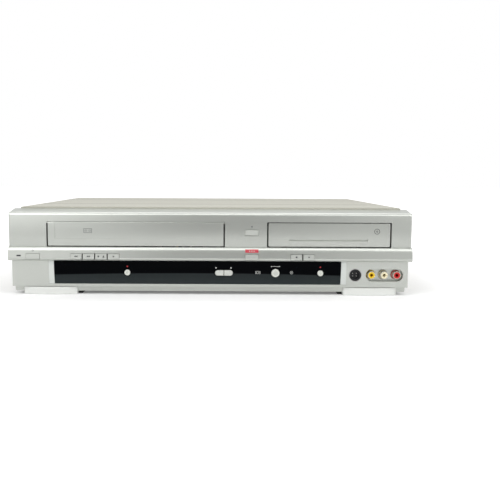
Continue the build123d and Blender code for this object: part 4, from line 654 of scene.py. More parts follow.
@dataclass(frozen=True)
class Ink(Finish):
    """Pad-printed ink."""

    cover_per_metre: float = 4000.0
    cover_spread: float = 0.08

    def draw(self, sheet: NodeSheet) -> dict[str, Wire]:
        """Slightly uneven cover."""
        cover = sheet.noise(self.cover_per_metre, 2.0)
        return {
            "Base Color": self.tinted(sheet, cover, self.cover_spread),
            "Roughness": self.roughness + cover * 0.08,
        }


@dataclass(frozen=True)
class Palette:
    """Every finish on the deck."""

    silver: Finish = SilverPaint("silver_paint", paint(203, 206, 200), 0.29, 0.80)
    foot: Finish = SilverPaint("bright_foot", paint(234, 236, 232), 0.40, 0.20)
    strip: Finish = SilverPaint("bright_strip", paint(218, 222, 218), 0.38, 0.30)
    enamel: Finish = Enamel("grey_beige_enamel", paint(192, 191, 179), 0.55)
    zinc: Finish = ZincSheet("zinc_sheet", paint(196, 198, 198), 0.40, 0.92)
    zinc_upright: Finish = ZincSheet("zinc_upright", paint(190, 193, 194), 0.42, 0.92, roll=(1.0, 1.0, 0.02))
    window: Finish = SmokedWindow("smoked_window", paint(2, 3, 5), 0.09, 0.0, 0.03)
    key: Finish = KeyCap("silver_key", paint(200, 203, 197), 0.34, 0.6)
    window_key: Finish = KeyCap("programme_cap", paint(208, 210, 204), 0.42, 0.15)
    black: Finish = Moulding("black_moulding", paint(30, 31, 33), 0.42)
    white: Finish = Moulding("white_moulding", paint(226, 223, 210), 0.36)
    rubber: Finish = Rubber("black_rubber", paint(30, 31, 30), 0.78)
    steel: Finish = ZincSheet("bright_steel", paint(200, 200, 198), 0.32, 1.0)
    motor: Finish = ZincSheet("drawn_can", paint(158, 160, 162), 0.34, 1.0, roll=(0.2, 0.02, 0.2))
    lamp: Finish = Moulding("dark_lens", paint(30, 30, 36), 0.22)
    dark_ink: Finish = Ink("dark_ink", paint(24, 26, 32), 0.5)
    grey_ink: Finish = Ink("grey_ink", paint(86, 90, 92), 0.5)
    white_ink: Finish = Ink("white_ink", paint(208, 210, 206), 0.5)
    red_ink: Finish = Ink("red_ink", paint(168, 36, 40), 0.5)
    label_red: Finish = Ink("label_red", paint(196, 66, 78), 0.5)


PALETTE = Palette()


# ---------------------------------------------------------------- modelling steps
class Bench:
    """Steps that every new piece is modelled with. Fronts face -Y; sizes are metres."""

    FRONT = math.pi / 2  # stands a flat primitive up, facing the front

    @staticmethod
    def clear() -> None:
        """Leaves nothing selected."""
        if bpy.context.object and bpy.context.object.mode != "OBJECT":
            bpy.ops.object.mode_set(mode="OBJECT")
        bpy.ops.object.select_all(action="DESELECT")

    @staticmethod
    def take(piece: bpy.types.Object) -> None:
        """Makes one piece the only selected and active one."""
        Bench.clear()
        piece.select_set(True)
        bpy.context.view_layer.objects.active = piece

    @staticmethod
    def settle(piece: bpy.types.Object) -> bpy.types.Object:
        """Puts the piece's place, turn and scale into its mesh."""
        Bench.take(piece)
        bpy.ops.object.transform_apply(location=True, rotation=True, scale=True)
        return piece

    @staticmethod
    def edit(piece: bpy.types.Object, faces: Callable[[Vector, Vector], bool] | None = None) -> None:
        """Enters edit mode with all faces selected, or those whose normal and centre pass a test.

        Args:
            piece: the piece to edit.
            faces: a test on a face's centre and normal, or None for all.
        """
        Bench.take(piece)
        for polygon in piece.data.polygons:
            polygon.select = faces is None or faces(polygon.center, polygon.normal)
        keep = {edge for polygon in piece.data.polygons if polygon.select for edge in polygon.edge_keys}
        points = {point for edge in keep for point in edge}
        for vertex in piece.data.vertices:
            vertex.select = vertex.index in points
        for edge in piece.data.edges:
            edge.select = tuple(sorted(edge.vertices)) in keep
        bpy.ops.object.mode_set(mode="EDIT")
        bpy.ops.mesh.select_mode(type="FACE")

    @staticmethod
    def apply(piece: bpy.types.Object, kind: str, **settings: object) -> bpy.types.Object:
        """Adds a modifier and applies it.

        Args:
            piece: the piece to change.
            kind: the modifier's type.
            settings: its settings, by name.

        Returns:
            The piece.
        """
        Bench.take(piece)
        modifier = piece.modifiers.new(kind.title(), kind)
        for name, value in settings.items():
            setattr(modifier, name, value)
        bpy.ops.object.modifier_apply(modifier=modifier.name)
        return piece

    @staticmethod
    def join(pieces: list[bpy.types.Object], name: str) -> bpy.types.Object:
        """One piece made of several.

        Args:
            pieces: the pieces to join.
            name: the joined piece's name.

        Returns:
            The joined piece.
        """
        Bench.clear()
        for piece in pieces:
            piece.select_set(True)
        bpy.context.view_layer.objects.active = pieces[0]
        if len(pieces) > 1:
            bpy.ops.object.join()
        pieces[0].name = name
        pieces[0].data.name = name
        return pieces[0]


@dataclass(frozen=True)
class Spot:
    """A place on a surface: a point, and how far the surface leans back from upright."""

    x: float
    y: float
    z: float
    lean: float = 0.0

    def at(self, across: float, up: float) -> Vector:
        """A point on the surface, across and up from the spot."""
        back, rise = up * math.sin(self.lean), up * math.cos(self.lean)
        return Vector((self.x + across, self.y + back, self.z + rise))

    def turn(self, spin: float = 0.0) -> Euler:
        """How a flat primitive turns to lie on the surface.

        Args:
            spin: its turn in the surface, clockwise as seen from the front.

        Returns:
            The turn.
        """
        flat = Matrix.Rotation(Bench.FRONT, 4, "X")
        lean = Matrix.Rotation(-self.lean, 4, "X")
        return (lean @ Matrix.Rotation(spin, 4, "Y") @ flat).to_euler()


class Way(Enum):
    """The way an arrow points, as its turn from pointing up."""

    UP = 0.0
    RIGHT = math.pi / 2
    DOWN = math.pi
    LEFT = -math.pi / 2


@dataclass(frozen=True)
class Print:
    """Marks printed on a surface, as thin raised shapes."""

    spot: Spot
    thick: float = 0.04 * MM

    def arrow(self, way: Way, size: float, across: float = 0.0, up: float = 0.0) -> bpy.types.Object:
        """A solid triangle.

        Args:
            way: where it points.
            size: its height from base to tip.
            across: its centre, across from the spot.
            up: its centre, up from the spot.

        Returns:
            The flat triangle.
        """
        Bench.clear()
        bpy.ops.mesh.primitive_circle_add(
            vertices=3, radius=size / 1.5, fill_type="NGON",
            location=self.spot.at(across, up), rotation=self.spot.turn(way.value))
        return Bench.settle(bpy.context.object)

    def bar(self, width: float, height: float, across: float = 0.0, up: float = 0.0) -> bpy.types.Object:
        """A rectangle.

        Args:
            width: its width.
            height: its height.
            across: its centre, across from the spot.
            up: its centre, up from the spot.

        Returns:
            The flat rectangle.
        """
        Bench.clear()
        bpy.ops.mesh.primitive_plane_add(
            size=1.0, location=self.spot.at(across, up), rotation=self.spot.turn())
        piece = bpy.context.object
        piece.scale = (width, height, 1.0)
        return Bench.settle(piece)

    def ring(self, radius: float, line: float, across: float = 0.0, up: float = 0.0) -> bpy.types.Object:
        """A ring, or a full dot where line is the radius.

        Args:
            radius: its outer radius.
            line: how wide the ring is drawn.
            across: its centre, across from the spot.
            up: its centre, up from the spot.

        Returns:
            The flat ring or dot.
        """
        Bench.clear()
        bpy.ops.mesh.primitive_circle_add(
            vertices=32, radius=radius, fill_type="NGON",
            location=self.spot.at(across, up), rotation=self.spot.turn())
        piece = Bench.settle(bpy.context.object)
        if line < radius:
            Bench.edit(piece)
            bpy.ops.mesh.inset(thickness=line)
            bpy.ops.mesh.delete(type="FACE")
            bpy.ops.object.mode_set(mode="OBJECT")
        return piece

    def cassette(self, half_width: float, half_height: float, line: float, reel: float,
                 reel_line: float, reel_place: float) -> list[bpy.types.Object]:
        """A cassette's outline with its two reels.

        Args:
            half_width: the middle to the upright lines.
            half_height: the middle to the level lines.
            line: how wide the outline is drawn.
            reel: a reel's radius.
            reel_line: how wide the reels are drawn.
            reel_place: the middle to a reel's centre.

        Returns:
            The flat shapes.
        """
        sides = (-1, 1)
        shapes = [self.ring(reel, reel_line, side * reel_place) for side in sides]
        shapes += [self.bar(2 * half_width, line, 0.0, side * half_height) for side in sides]
        shapes += [self.bar(line, 2 * half_height + line, side * half_width) for side in sides]
        return shapes

    def finish(self, shapes: list[bpy.types.Object], name: str) -> bpy.types.Object:
        """Joins flat shapes and gives them their thickness, as much into the surface as out of it.

        Args:
            shapes: the flat shapes.
            name: the mark's name.

        Returns:
            The mark.
        """
        piece = Bench.join(shapes, name)
        Bench.edit(piece)
        bpy.ops.mesh.normals_make_consistent(inside=False)
        bpy.ops.object.mode_set(mode="OBJECT")
        return Bench.apply(piece, "SOLIDIFY", thickness=2 * self.thick, offset=0.0)


def lay(piece: bpy.types.Object, finish: Finish, body: str) -> None:
    """Gives a new piece its finish and the body it rides on.

    Args:
        piece: the new piece.
        finish: its finish.
        body: the body that it moves with.
    """
    piece.data.materials.clear()
    piece.data.materials.append(finish.material())
    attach(piece, body)
    LOG.info("%s: %s on %s", piece.name, finish.name, body)


def stamp(press: Print, shapes: list[bpy.types.Object], name: str, ink: Finish,
          body: str = "root") -> None:
    """Makes a mark of flat shapes and lays it on its body.

    Args:
        press: the surface that it is printed on.
        shapes: its flat shapes.
        name: its name.
        ink: its finish.
        body: the body that it moves with.
    """
    lay(press.finish(shapes, name), ink, body)


def dress(node: str, finish: Finish) -> None:
    """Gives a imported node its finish.

    Args:
        node: the node's name.
        finish: its finish.
    """
    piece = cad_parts[node]
    if not piece.material_slots:
        piece.data.materials.append(finish.material())
    for holder in piece.material_slots:
        holder.material = finish.material()
    LOG.info("%s: %s", node, finish.name)


def middle(node: str) -> Vector:
    """The middle of a node's box."""
    low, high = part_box(node)
    return (Vector(low) + Vector(high)) / 2


# ---------------------------------------------------------------- casing
@dataclass
class Casing:
    """Cover, pan, bezel, feet and the screws that hold them."""

    # cover screws
    screw_radius: float = 4.0 * MM
    screw_height: float = 1.8 * MM
    screw_round: float = 0.9 * MM
    shank_radius: float = 1.5 * MM
    shank_length: float = 4.0 * MM
    shank_lap: float = 0.05 * MM  # into the head
    recess_width: float = 1.1 * MM
    recess_reach: float = 4.4 * MM
    recess_depth: float = 1.1 * MM
    side_screws_y: tuple[float, float] = (-112.2 * MM, 134.0 * MM)
    side_screws_z: float = 17.5 * MM
    rear_screws_x: tuple[float, float, float] = (-184.2 * MM, 0.0, 184.2 * MM)
    rear_screws_z: float = 89.5 * MM
    smooth_below: float = math.radians(35)
    # dark rubber pads behind the front feet: painted shade at their inner ends
    foot_width: float = 58.0 * MM
    pad_reach: float = 4.5 * MM  # past the foot, towards the middle
    pad_set_in: float = 2.0 * MM  # from the foot's outer end
    pad_middle: float = -158.0 * MM  # from front to back
    pad_height: float = 3.3 * MM
    pad_depth: float = 16.0 * MM
    pad_round: float = 0.6 * MM

    def build(self) -> None:
        """Dresses the casing's nodes, then adds screws and dark foot pads, painted shade at the feet's inner
        ends.
        """
        dress("top_cover", PALETTE.enamel)
        dress("base_chassis", PALETTE.zinc)
        dress("rear_panel", PALETTE.zinc)
        dress("front_bezel", PALETTE.silver)
        dress("front_feet", PALETTE.foot)
        dress("rear_feet", PALETTE.rubber)
        self.screws()
        self.foot_shade_pads()

    def screw(self, seat: Vector, out: Vector) -> bpy.types.Object:
        """A pan-head screw with a cross recess.

        Args:
            seat: the middle of the head's underside.
            out: the way the head stands out.

        Returns:
            The screw.
        """
        turn = out.to_track_quat("Z", "Y").to_euler()
        Bench.clear()
        bpy.ops.mesh.primitive_cylinder_add(vertices=40, radius=self.screw_radius, depth=self.screw_height)
        head = bpy.context.object
        head.data.transform(Matrix.Translation((0, 0, self.screw_height / 2)))
        Bench.edit(head, lambda centre, normal: normal.z > 0.9)
        bpy.ops.mesh.bevel(offset=self.screw_round, segments=4, profile=0.55, affect="EDGES")
        bpy.ops.object.mode_set(mode="OBJECT")
        Bench.clear()
        bpy.ops.mesh.primitive_cylinder_add(vertices=20, radius=self.shank_radius, depth=self.shank_length)
        shank = bpy.context.object
        shank.data.transform(Matrix.Translation((0, 0, self.shank_lap - self.shank_length / 2)))
        for spin in (0.0, math.pi / 2):
            Bench.clear()
            bpy.ops.mesh.primitive_cube_add(size=1.0)
            slot = bpy.context.object
            slot.scale = (self.recess_reach, self.recess_width, 2 * self.recess_depth)
            slot.rotation_euler = (0, 0, spin)
            slot.location = (0, 0, self.screw_height)
            Bench.settle(slot)
            Bench.apply(head, "BOOLEAN", operation="DIFFERENCE", object=slot, solver="EXACT")
            bpy.data.objects.remove(slot)
        screw = Bench.join([head, shank], "cover_screw")
        screw.rotation_euler = turn
        screw.location = seat
        Bench.settle(screw)
        bpy.ops.object.shade_smooth_by_angle(angle=self.smooth_below)
        return screw

    def screws(self) -> None:
        """The cover's screws, each side and along the back."""
        low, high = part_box("top_cover")
        places = [(Vector((edge, y, self.side_screws_z)), Vector((side, 0, 0)))
                  for side, edge in ((-1, low[0]), (1, high[0])) for y in self.side_screws_y]
        places += [(Vector((x, high[1], self.rear_screws_z)), Vector((0, 1, 0)))
                   for x in self.rear_screws_x]
        made = [self.screw(seat, out) for seat, out in places]
        piece = Bench.join(made, "cross_head_screws")
        lay(piece, PALETTE.steel, "root")
        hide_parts("cover_screws")

    def foot_shade_pads(self) -> None:
        """Dark rubber pads behind the bright feet, longer than them towards the middle: painted shade at the
        feet's inner ends.
        """
        low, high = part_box("front_feet")
        for side, name in ((-1, "foot_shade_pad_left"), (1, "foot_shade_pad_right")):
            end = high[0] if side > 0 else low[0]
            outer = end - side * self.pad_set_in
            inner = end - side * (self.foot_width + self.pad_reach)
            Bench.clear()
            bpy.ops.mesh.primitive_cube_add(size=1.0)
            pad = bpy.context.object
            pad.scale = (abs(outer - inner), self.pad_depth, self.pad_height)
            pad.location = ((outer + inner) / 2, self.pad_middle, self.pad_height / 2)
            Bench.settle(pad)
            Bench.apply(pad, "BEVEL", width=self.pad_round, segments=3)
            pad.name = name
            lay(pad, PALETTE.rubber, "root")


# ---------------------------------------------------------------- keys and marks
class Symbol(Enum):
    """What a key's mark says."""

    REWIND = "rewind"
    FORWARD = "fast_forward"
    STOP_EJECT = "stop_eject"
    PLAY = "play"
    STOP = "disc_stop"
    PLAY_DISC = "disc_play"


class Form(Enum):
    """A shape in a key's mark."""

    ARROW = "arrow"
    SQUARE = "square"
    LINE = "line"


@dataclass
class ControlPanel:
    """Keys, lamp, window and all that is printed on the front."""

    # the button band
    lip_height: float = 40.5 * MM
    crest_height: float = 46.4 * MM
    crest_front: float = -179.1 * MM
    crest_radius: float = 6.608 * MM  # of the band's rounded top
    band_lean: float = math.atan2(0.9, 5.9)
    mark_height: float = 41.9 * MM
    mark_size: float = 1.75 * MM
    print_lift: float = 0.03 * MM
    band_sign_height: float = 48.0 * MM
    label_heights: tuple[float, float] = (46.5 * MM, 50.0 * MM)
    label_width: float = 14.2 * MM
    label_corner: float = 0.25 * MM
    label_sign_height: float = 48.2 * MM
    label_sign_thick: float = 0.09 * MM
    label_sign_step: float = 2.4 * MM
    # the upper face
    face_front: float = -175.72 * MM  # of the face and the tray front, under the ink
    door_front: float = -175.52 * MM
    open_sign_height: float = 74.2 * MM
    tape_sign: tuple[float, float] = (-132.0 * MM, 69.3 * MM)
    disc_sign: tuple[float, float] = (179.5 * MM, 69.6 * MM)
    # the window
    record_dish: float = 1.5 * MM
    output_dish: float = 2.6 * MM
    dot_radius: float = 0.85 * MM
    dot_rise: float = 6.6 * MM
    line_drop: float = 6.2 * MM
    line_back: float = 0.31 * MM  # behind the window's foremost place
    line_size: tuple[float, float] = (8.4 * MM, 0.7 * MM)
    program_middle: float = 14.45 * MM
    program_step: float = 8.15 * MM
    program_sign_height: float = 29.6 * MM
    output_tape_sign: float = -19.0 * MM  # this and the next are across from the output key
    output_disc_sign: float = 17.5 * MM
    output_sign_rise: float = 0.6 * MM
    swap_rise: float = 7.2 * MM
    swap_half: float = 4.4 * MM

    def build(self) -> None:
        """Dresses keys and window, then prints their marks."""
        for name in ("standby", "rewind", "fast_forward", "stop_eject", "play", "dubbing",
                     "disc_stop", "disc_play", "open_close"):
            dress(name + "_button", PALETTE.key)
        dishes = {"tape_record": self.record_dish, "disc_record": self.record_dish,
                  "output_select": self.output_dish}
        for name, dish in dishes.items():
            spot = middle(name + "_button")
            key = KeyCap(name + "_cap", paint(214, 216, 208), 0.42, 0.15, centre=(spot.x, spot.z), dish=dish)
            dress(name + "_button", key)
        dress("program_down_button", PALETTE.window_key)
        dress("program_up_button", PALETTE.window_key)
        dress("display_window", PALETTE.window)
        dress("window_strips", PALETTE.strip)
        dress("standby_lamp", PALETTE.lamp)
        self.key_marks()
        self.face_marks()
        self.window_marks()

    def key_spot(self, key: str) -> Spot:
        """Where a band key's mark goes, on the key's leaning face.

        Args:
            key: the key's name.

        Returns:
            The spot.
        """
        low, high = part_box(key + "_button")
        rise = self.mark_height - self.lip_height
        front = low[1] + rise * math.tan(self.band_lean)
        return Spot((low[0] + high[0]) / 2, front, self.mark_height, self.band_lean)

    def band_front(self, height: float) -> float:
        """Where the band's surface is at a height above its crest."""
        rise = height - self.crest_height
        return self.crest_front + self.crest_radius - math.sqrt(self.crest_radius ** 2 - rise ** 2)

    def band_spot(self, x: float, height: float) -> Spot:
        """A spot on the band's rounded top.

        Args:
            x: its place along the band.
            height: its height, above the crest.

        Returns:
            The spot, leaning as the band does there.
        """
        lean = math.asin((height - self.crest_height) / self.crest_radius)
        return Spot(x, self.band_front(height) - self.print_lift, height, lean)

    def band_label(self, x: float) -> bpy.types.Object:
        """A printed patch with cut corners that follows the band's rounded top.

        Args:
            x: the middle of the patch.

        Returns:
            The flat patch, bent to the band.
        """
        low, high = self.label_heights
        Bench.clear()
        bpy.ops.mesh.primitive_grid_add(
            x_subdivisions=4, y_subdivisions=12, size=1.0, location=(x, 0, (low + high) / 2),
            rotation=(Bench.FRONT, 0, 0))
        patch = bpy.context.object
        patch.scale = (self.label_width, high - low, 1.0)
        Bench.settle(patch)
        near = 0.01 * MM
        for vertex in patch.data.vertices:
            at_side = abs(abs(vertex.co.x - x) - self.label_width / 2) < near
            at_end = min(abs(vertex.co.z - low), abs(vertex.co.z - high)) < near
            if at_side and at_end:
                vertex.co.x += math.copysign(self.label_corner, x - vertex.co.x)
            vertex.co.y = self.band_front(vertex.co.z)
        return patch

    def key_marks(self) -> None:
        """Transport marks on the band's keys, with shapes placed in shares of the mark's size."""
        size = self.mark_size
        marks = {
            Symbol.REWIND: ((Form.ARROW, Way.LEFT, -0.5), (Form.ARROW, Way.LEFT, 0.55)),
            Symbol.FORWARD: ((Form.ARROW, Way.RIGHT, -0.55), (Form.ARROW, Way.RIGHT, 0.5)),
            Symbol.STOP_EJECT: (
                (Form.SQUARE, Way.UP, -1.6), (Form.ARROW, Way.UP, 1.6), (Form.LINE, Way.UP, 1.6)),
            Symbol.PLAY: ((Form.ARROW, Way.RIGHT, 0.0),),
            Symbol.STOP: ((Form.SQUARE, Way.UP, 0.0),),
            Symbol.PLAY_DISC: ((Form.ARROW, Way.RIGHT, 0.0),),
        }
        for symbol, parts in marks.items():
            press = Print(self.key_spot(symbol.value))
            made = []
            for form, way, across in parts:
                if form is Form.ARROW:
                    made.append(press.arrow(way, size, across * size))
                elif form is Form.SQUARE:
                    made.append(press.bar(size * 0.9, size * 0.9, across * size))
                else:
                    made.append(press.bar(size * 1.2, size * 0.25, across * size, -size * 0.75))
            stamp(press, made, symbol.value + "_mark", PALETTE.dark_ink, symbol.value)

    def face_marks(self) -> None:
        """Marks on bezel, door and tray front: plain signs, no words."""
        eject = Print(Spot(middle("open_close_button").x, self.face_front, self.open_sign_height))
        shapes = [eject.arrow(Way.UP, 1.6 * MM, 0.0, 0.2 * MM),
                  eject.bar(2.0 * MM, 0.4 * MM, 0.0, -1.0 * MM)]
        stamp(eject, shapes, "open_close_mark", PALETTE.grey_ink)
        power = Print(self.band_spot(middle("standby_button").x, self.band_sign_height))
        shapes = [power.ring(1.0 * MM, 0.3 * MM), power.bar(0.35 * MM, 1.1 * MM, 0.0, 0.9 * MM)]
        stamp(power, shapes, "standby_mark", PALETTE.grey_ink)
        tape = Print(Spot(self.tape_sign[0], self.door_front, self.tape_sign[1]))
        shapes = tape.cassette(half_width=4.2 * MM, half_height=2.2 * MM, line=0.4 * MM,
                               reel=1.05 * MM, reel_line=0.35 * MM, reel_place=2.1 * MM)
        stamp(tape, shapes, "tape_sign", PALETTE.grey_ink, "cassette_flap")
        disc = Print(Spot(self.disc_sign[0], self.face_front, self.disc_sign[1]))
        shapes = [disc.ring(3.0 * MM, 0.45 * MM), disc.ring(1.0 * MM, 0.4 * MM)]
        stamp(disc, shapes, "disc_sign", PALETTE.dark_ink, "disc_tray")
        self.dubbing_marks()

    def dubbing_marks(self) -> None:
        """The red label over the dubbing key, and the three arrows on it."""
        x = middle("dubbing_button").x
        label = Print(self.band_spot(x, self.band_sign_height))
        stamp(label, [self.band_label(x)], "dubbing_label", PALETTE.label_red)
        sign = Print(self.band_spot(x, self.label_sign_height), thick=self.label_sign_thick)
        shapes = [sign.arrow(Way.RIGHT, 1.3 * MM, step * self.label_sign_step) for step in (-1, 0, 1)]
        stamp(sign, shapes, "dubbing_arrows", PALETTE.white_ink)

    def window_marks(self) -> None:
        """Signs printed on the window."""
        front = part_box("display_window")[0][1]
        for name in ("tape_record", "disc_record"):
            key = middle(name + "_button")
            dot = Print(Spot(key.x, front, key.z + self.dot_rise))
            stamp(dot, [dot.ring(self.dot_radius, self.dot_radius)], name + "_dot",
                  PALETTE.red_ink)
            line = Print(Spot(key.x, front + self.line_back, key.z - self.line_drop))
            stamp(line, [line.bar(*self.line_size)], name + "_line", PALETTE.red_ink)
        for name, way, side in (("program_down", Way.DOWN, -1), ("program_up", Way.UP, 1)):
            x = self.program_middle + side * self.program_step
            sign = Print(Spot(x, front, self.program_sign_height))
            stamp(sign, [sign.arrow(way, 1.7 * MM)], name + "_mark", PALETTE.white_ink)
        self.output_marks(front)

    def output_marks(self, front: float) -> None:
        """The tape, disc and swap signs round the output key.

        Args:
            front: where the window's face is.
        """
        key = middle("output_select_button")
        height = key.z + self.output_sign_rise
        tape = Print(Spot(key.x + self.output_tape_sign, front, height))
        shapes = tape.cassette(half_width=2.5 * MM, half_height=1.3 * MM, line=0.3 * MM,
                               reel=0.6 * MM, reel_line=0.25 * MM, reel_place=1.2 * MM)
        stamp(tape, shapes, "output_tape_sign", PALETTE.white_ink)
        disc = Print(Spot(key.x + self.output_disc_sign, front, height))
        shapes = [disc.ring(1.6 * MM, 0.3 * MM), disc.ring(0.5 * MM, 0.25 * MM)]
        stamp(disc, shapes, "output_disc_sign", PALETTE.white_ink)
        swap = Print(Spot(key.x, front, key.z + self.swap_rise))
        shapes = [swap.arrow(way, 1.2 * MM, side * self.swap_half)
                  for way, side in ((Way.LEFT, -1), (Way.RIGHT, 1))]
        shapes.append(swap.bar(7.8 * MM, 0.35 * MM))
        stamp(swap, shapes, "output_swap_sign", PALETTE.white_ink)


# ---------------------------------------------------------------- sockets
@dataclass
class Sockets:
    """Front and rear sockets with their contacts."""

    socket_z: float = 22.4 * MM
    panel_front: float = -176.5 * MM
    rim_radius: float = 7.4 * MM
    rim_line: float = 0.9 * MM
    pin_radius: float = 0.45 * MM
    pin_length: float = 2.4 * MM
    pin_lap: float = 0.1 * MM  # into the bore's bottom
    pin_round: float = 0.15 * MM
    pin_ring: float = 2.5 * MM
    pin_turns: tuple[int, ...] = (35, 145, 215, 325)  # degrees round the socket
    bore_bottom: float = -170.8 * MM
    jacks: tuple[tuple[str, Colour], ...] = (
        ("yellow", paint(236, 196, 22)), ("white", paint(236, 226, 190)), ("red", paint(196, 32, 30)))

    def build(self) -> None:
        """Dresses every socket, and gives the video socket its pins and a bright ring, a painted highlight
        round its funnel.
        """
        for name, colour in self.jacks:
            node = name + "_phono_jack"
            spot = middle(node)
            dress(node, PhonoJack(name + "_jack", colour, 0.34, centre=(spot.x, self.socket_z)))
        dress("s_video_socket", PALETTE.black)
        self.video_pins()
        self.video_highlight_rim()
        for node in ("scart_sockets", "mains_inlet"):
            dress(node, PALETTE.black)
        dress("rear_phono_jacks", PALETTE.black)
        dress("tuner_module", PALETTE.steel)

    def video_highlight_rim(self) -> None:
        """A bright steel ring round the video socket's funnel: a painted highlight where light falls on the
        funnel's mouth.
        """
        rim = Print(Spot(middle("s_video_socket").x, self.panel_front, self.socket_z))
        piece = rim.finish([rim.ring(self.rim_radius, self.rim_line)], "video_socket_highlight_rim")
        lay(piece, PALETTE.steel, "root")

    def video_pins(self) -> None:
        """The four contacts of the video socket."""
        x = middle("s_video_socket").x
        y = self.bore_bottom + self.pin_lap - self.pin_length / 2
        made = []
        for turn in self.pin_turns:
            angle = math.radians(turn)
            place = (x + self.pin_ring * math.cos(angle), y, self.socket_z + self.pin_ring * math.sin(angle))
            Bench.clear()
            bpy.ops.mesh.primitive_cylinder_add(
                vertices=16, radius=self.pin_radius, depth=self.pin_length,
                rotation=(Bench.FRONT, 0, 0), location=place)
            pin = Bench.settle(bpy.context.object)
            Bench.apply(pin, "BEVEL", width=self.pin_round, segments=2)
            made.append(pin)
        pins = Bench.join(made, "video_socket_contacts")
        lay(pins, PALETTE.steel, "root")


# ---------------------------------------------------------------- mechanisms and boards
@dataclass
class TapeDeck:
    """Door, holder, drum, reels, capstan and guides."""

    drum_axis: tuple[float, float] = (-80.3 * MM, -22.0 * MM)

    def build(self) -> None:
        """Dresses the tape deck."""
        dress("cassette_door", PALETTE.silver)
        for node in ("carriage_frame", "deck_plate"):
            dress(node, PALETTE.zinc)
        dress("cassette_holder", PALETTE.zinc)
        drum = TurnedMetal("turned_aluminium", paint(214, 216, 218), 0.24, 1.0, centre=self.drum_axis)
        dress("lower_drum", drum)
        dress("upper_drum", drum)
        spot = middle("capstan")
        brass = TurnedMetal("turned_brass", paint(206, 184, 122), 0.28, 1.0, centre=(spot.x, spot.y))
        dress("capstan", brass)
        for node in ("supply_reel", "takeup_reel", "supply_post", "takeup_post"):
            dress(node, PALETTE.white)
        dress("pinch_arm", PALETTE.zinc)
        dress("pinch_roller", PALETTE.rubber)
        dress("tape_heads", PALETTE.steel)
        dress("dc_motors", PALETTE.motor)


@dataclass
class DiscDrive:
    """Tray, its front, the drive's frame and what spins in it."""

    def build(self) -> None:
        """Dresses the disc drive."""
        dress("tray_front", PALETTE.silver)
        for node in ("drive_frame", "disc_tray", "pickup_sled", "turntable"):
            dress(node, PALETTE.black)
        dress("tray_gear", PALETTE.white)
        dress("tray_belt", PALETTE.rubber)
        dress("pickup_chassis", PALETTE.zinc)
        dress("clamp_bridge", PALETTE.zinc_upright)
        dress("disc_clamper", PALETTE.white)


@dataclass
class Electronics:
    """The boards."""

    board_top: float = 19.6 * MM
    front_face: float = -160.0 * MM

    def build(self) -> None:
        """Dresses the boards."""
        green = paint(30, 92, 52)
        rear = LacqueredBoard("rear_board_lacquer", green, 0.32, surface=self.board_top)
        dress("main_board", rear)
        dress("power_board", rear)
        front = LacqueredBoard(
            "front_board_lacquer", green, 0.32, facing=Facing.FRONT, surface=self.front_face)
        dress("front_board", front)


# ---------------------------------------------------------------- studio
@dataclass(frozen=True)
class Lamp:
    """A soft lamp: its name, place, width and height, power in watts, and the point it faces."""

    name: str
    place: tuple[float, float, float]
    size: tuple[float, float]
    power: float
    aim: tuple[float, float, float] = (0.0, -0.1, 0.05)

    def light(self) -> None:
        """Hangs the lamp in the scene."""
        light = bpy.data.lights.new(self.name, "AREA")
        light.shape = "RECTANGLE"
        light.size, light.size_y = self.size
        light.energy = self.power
        lamp = bpy.data.objects.new(self.name, light)
        bpy.context.collection.objects.link(lamp)
        lamp.location = self.place
        way = Vector(self.aim) - Vector(self.place)
        lamp.rotation_euler = way.to_track_quat("-Z", "Y").to_euler()


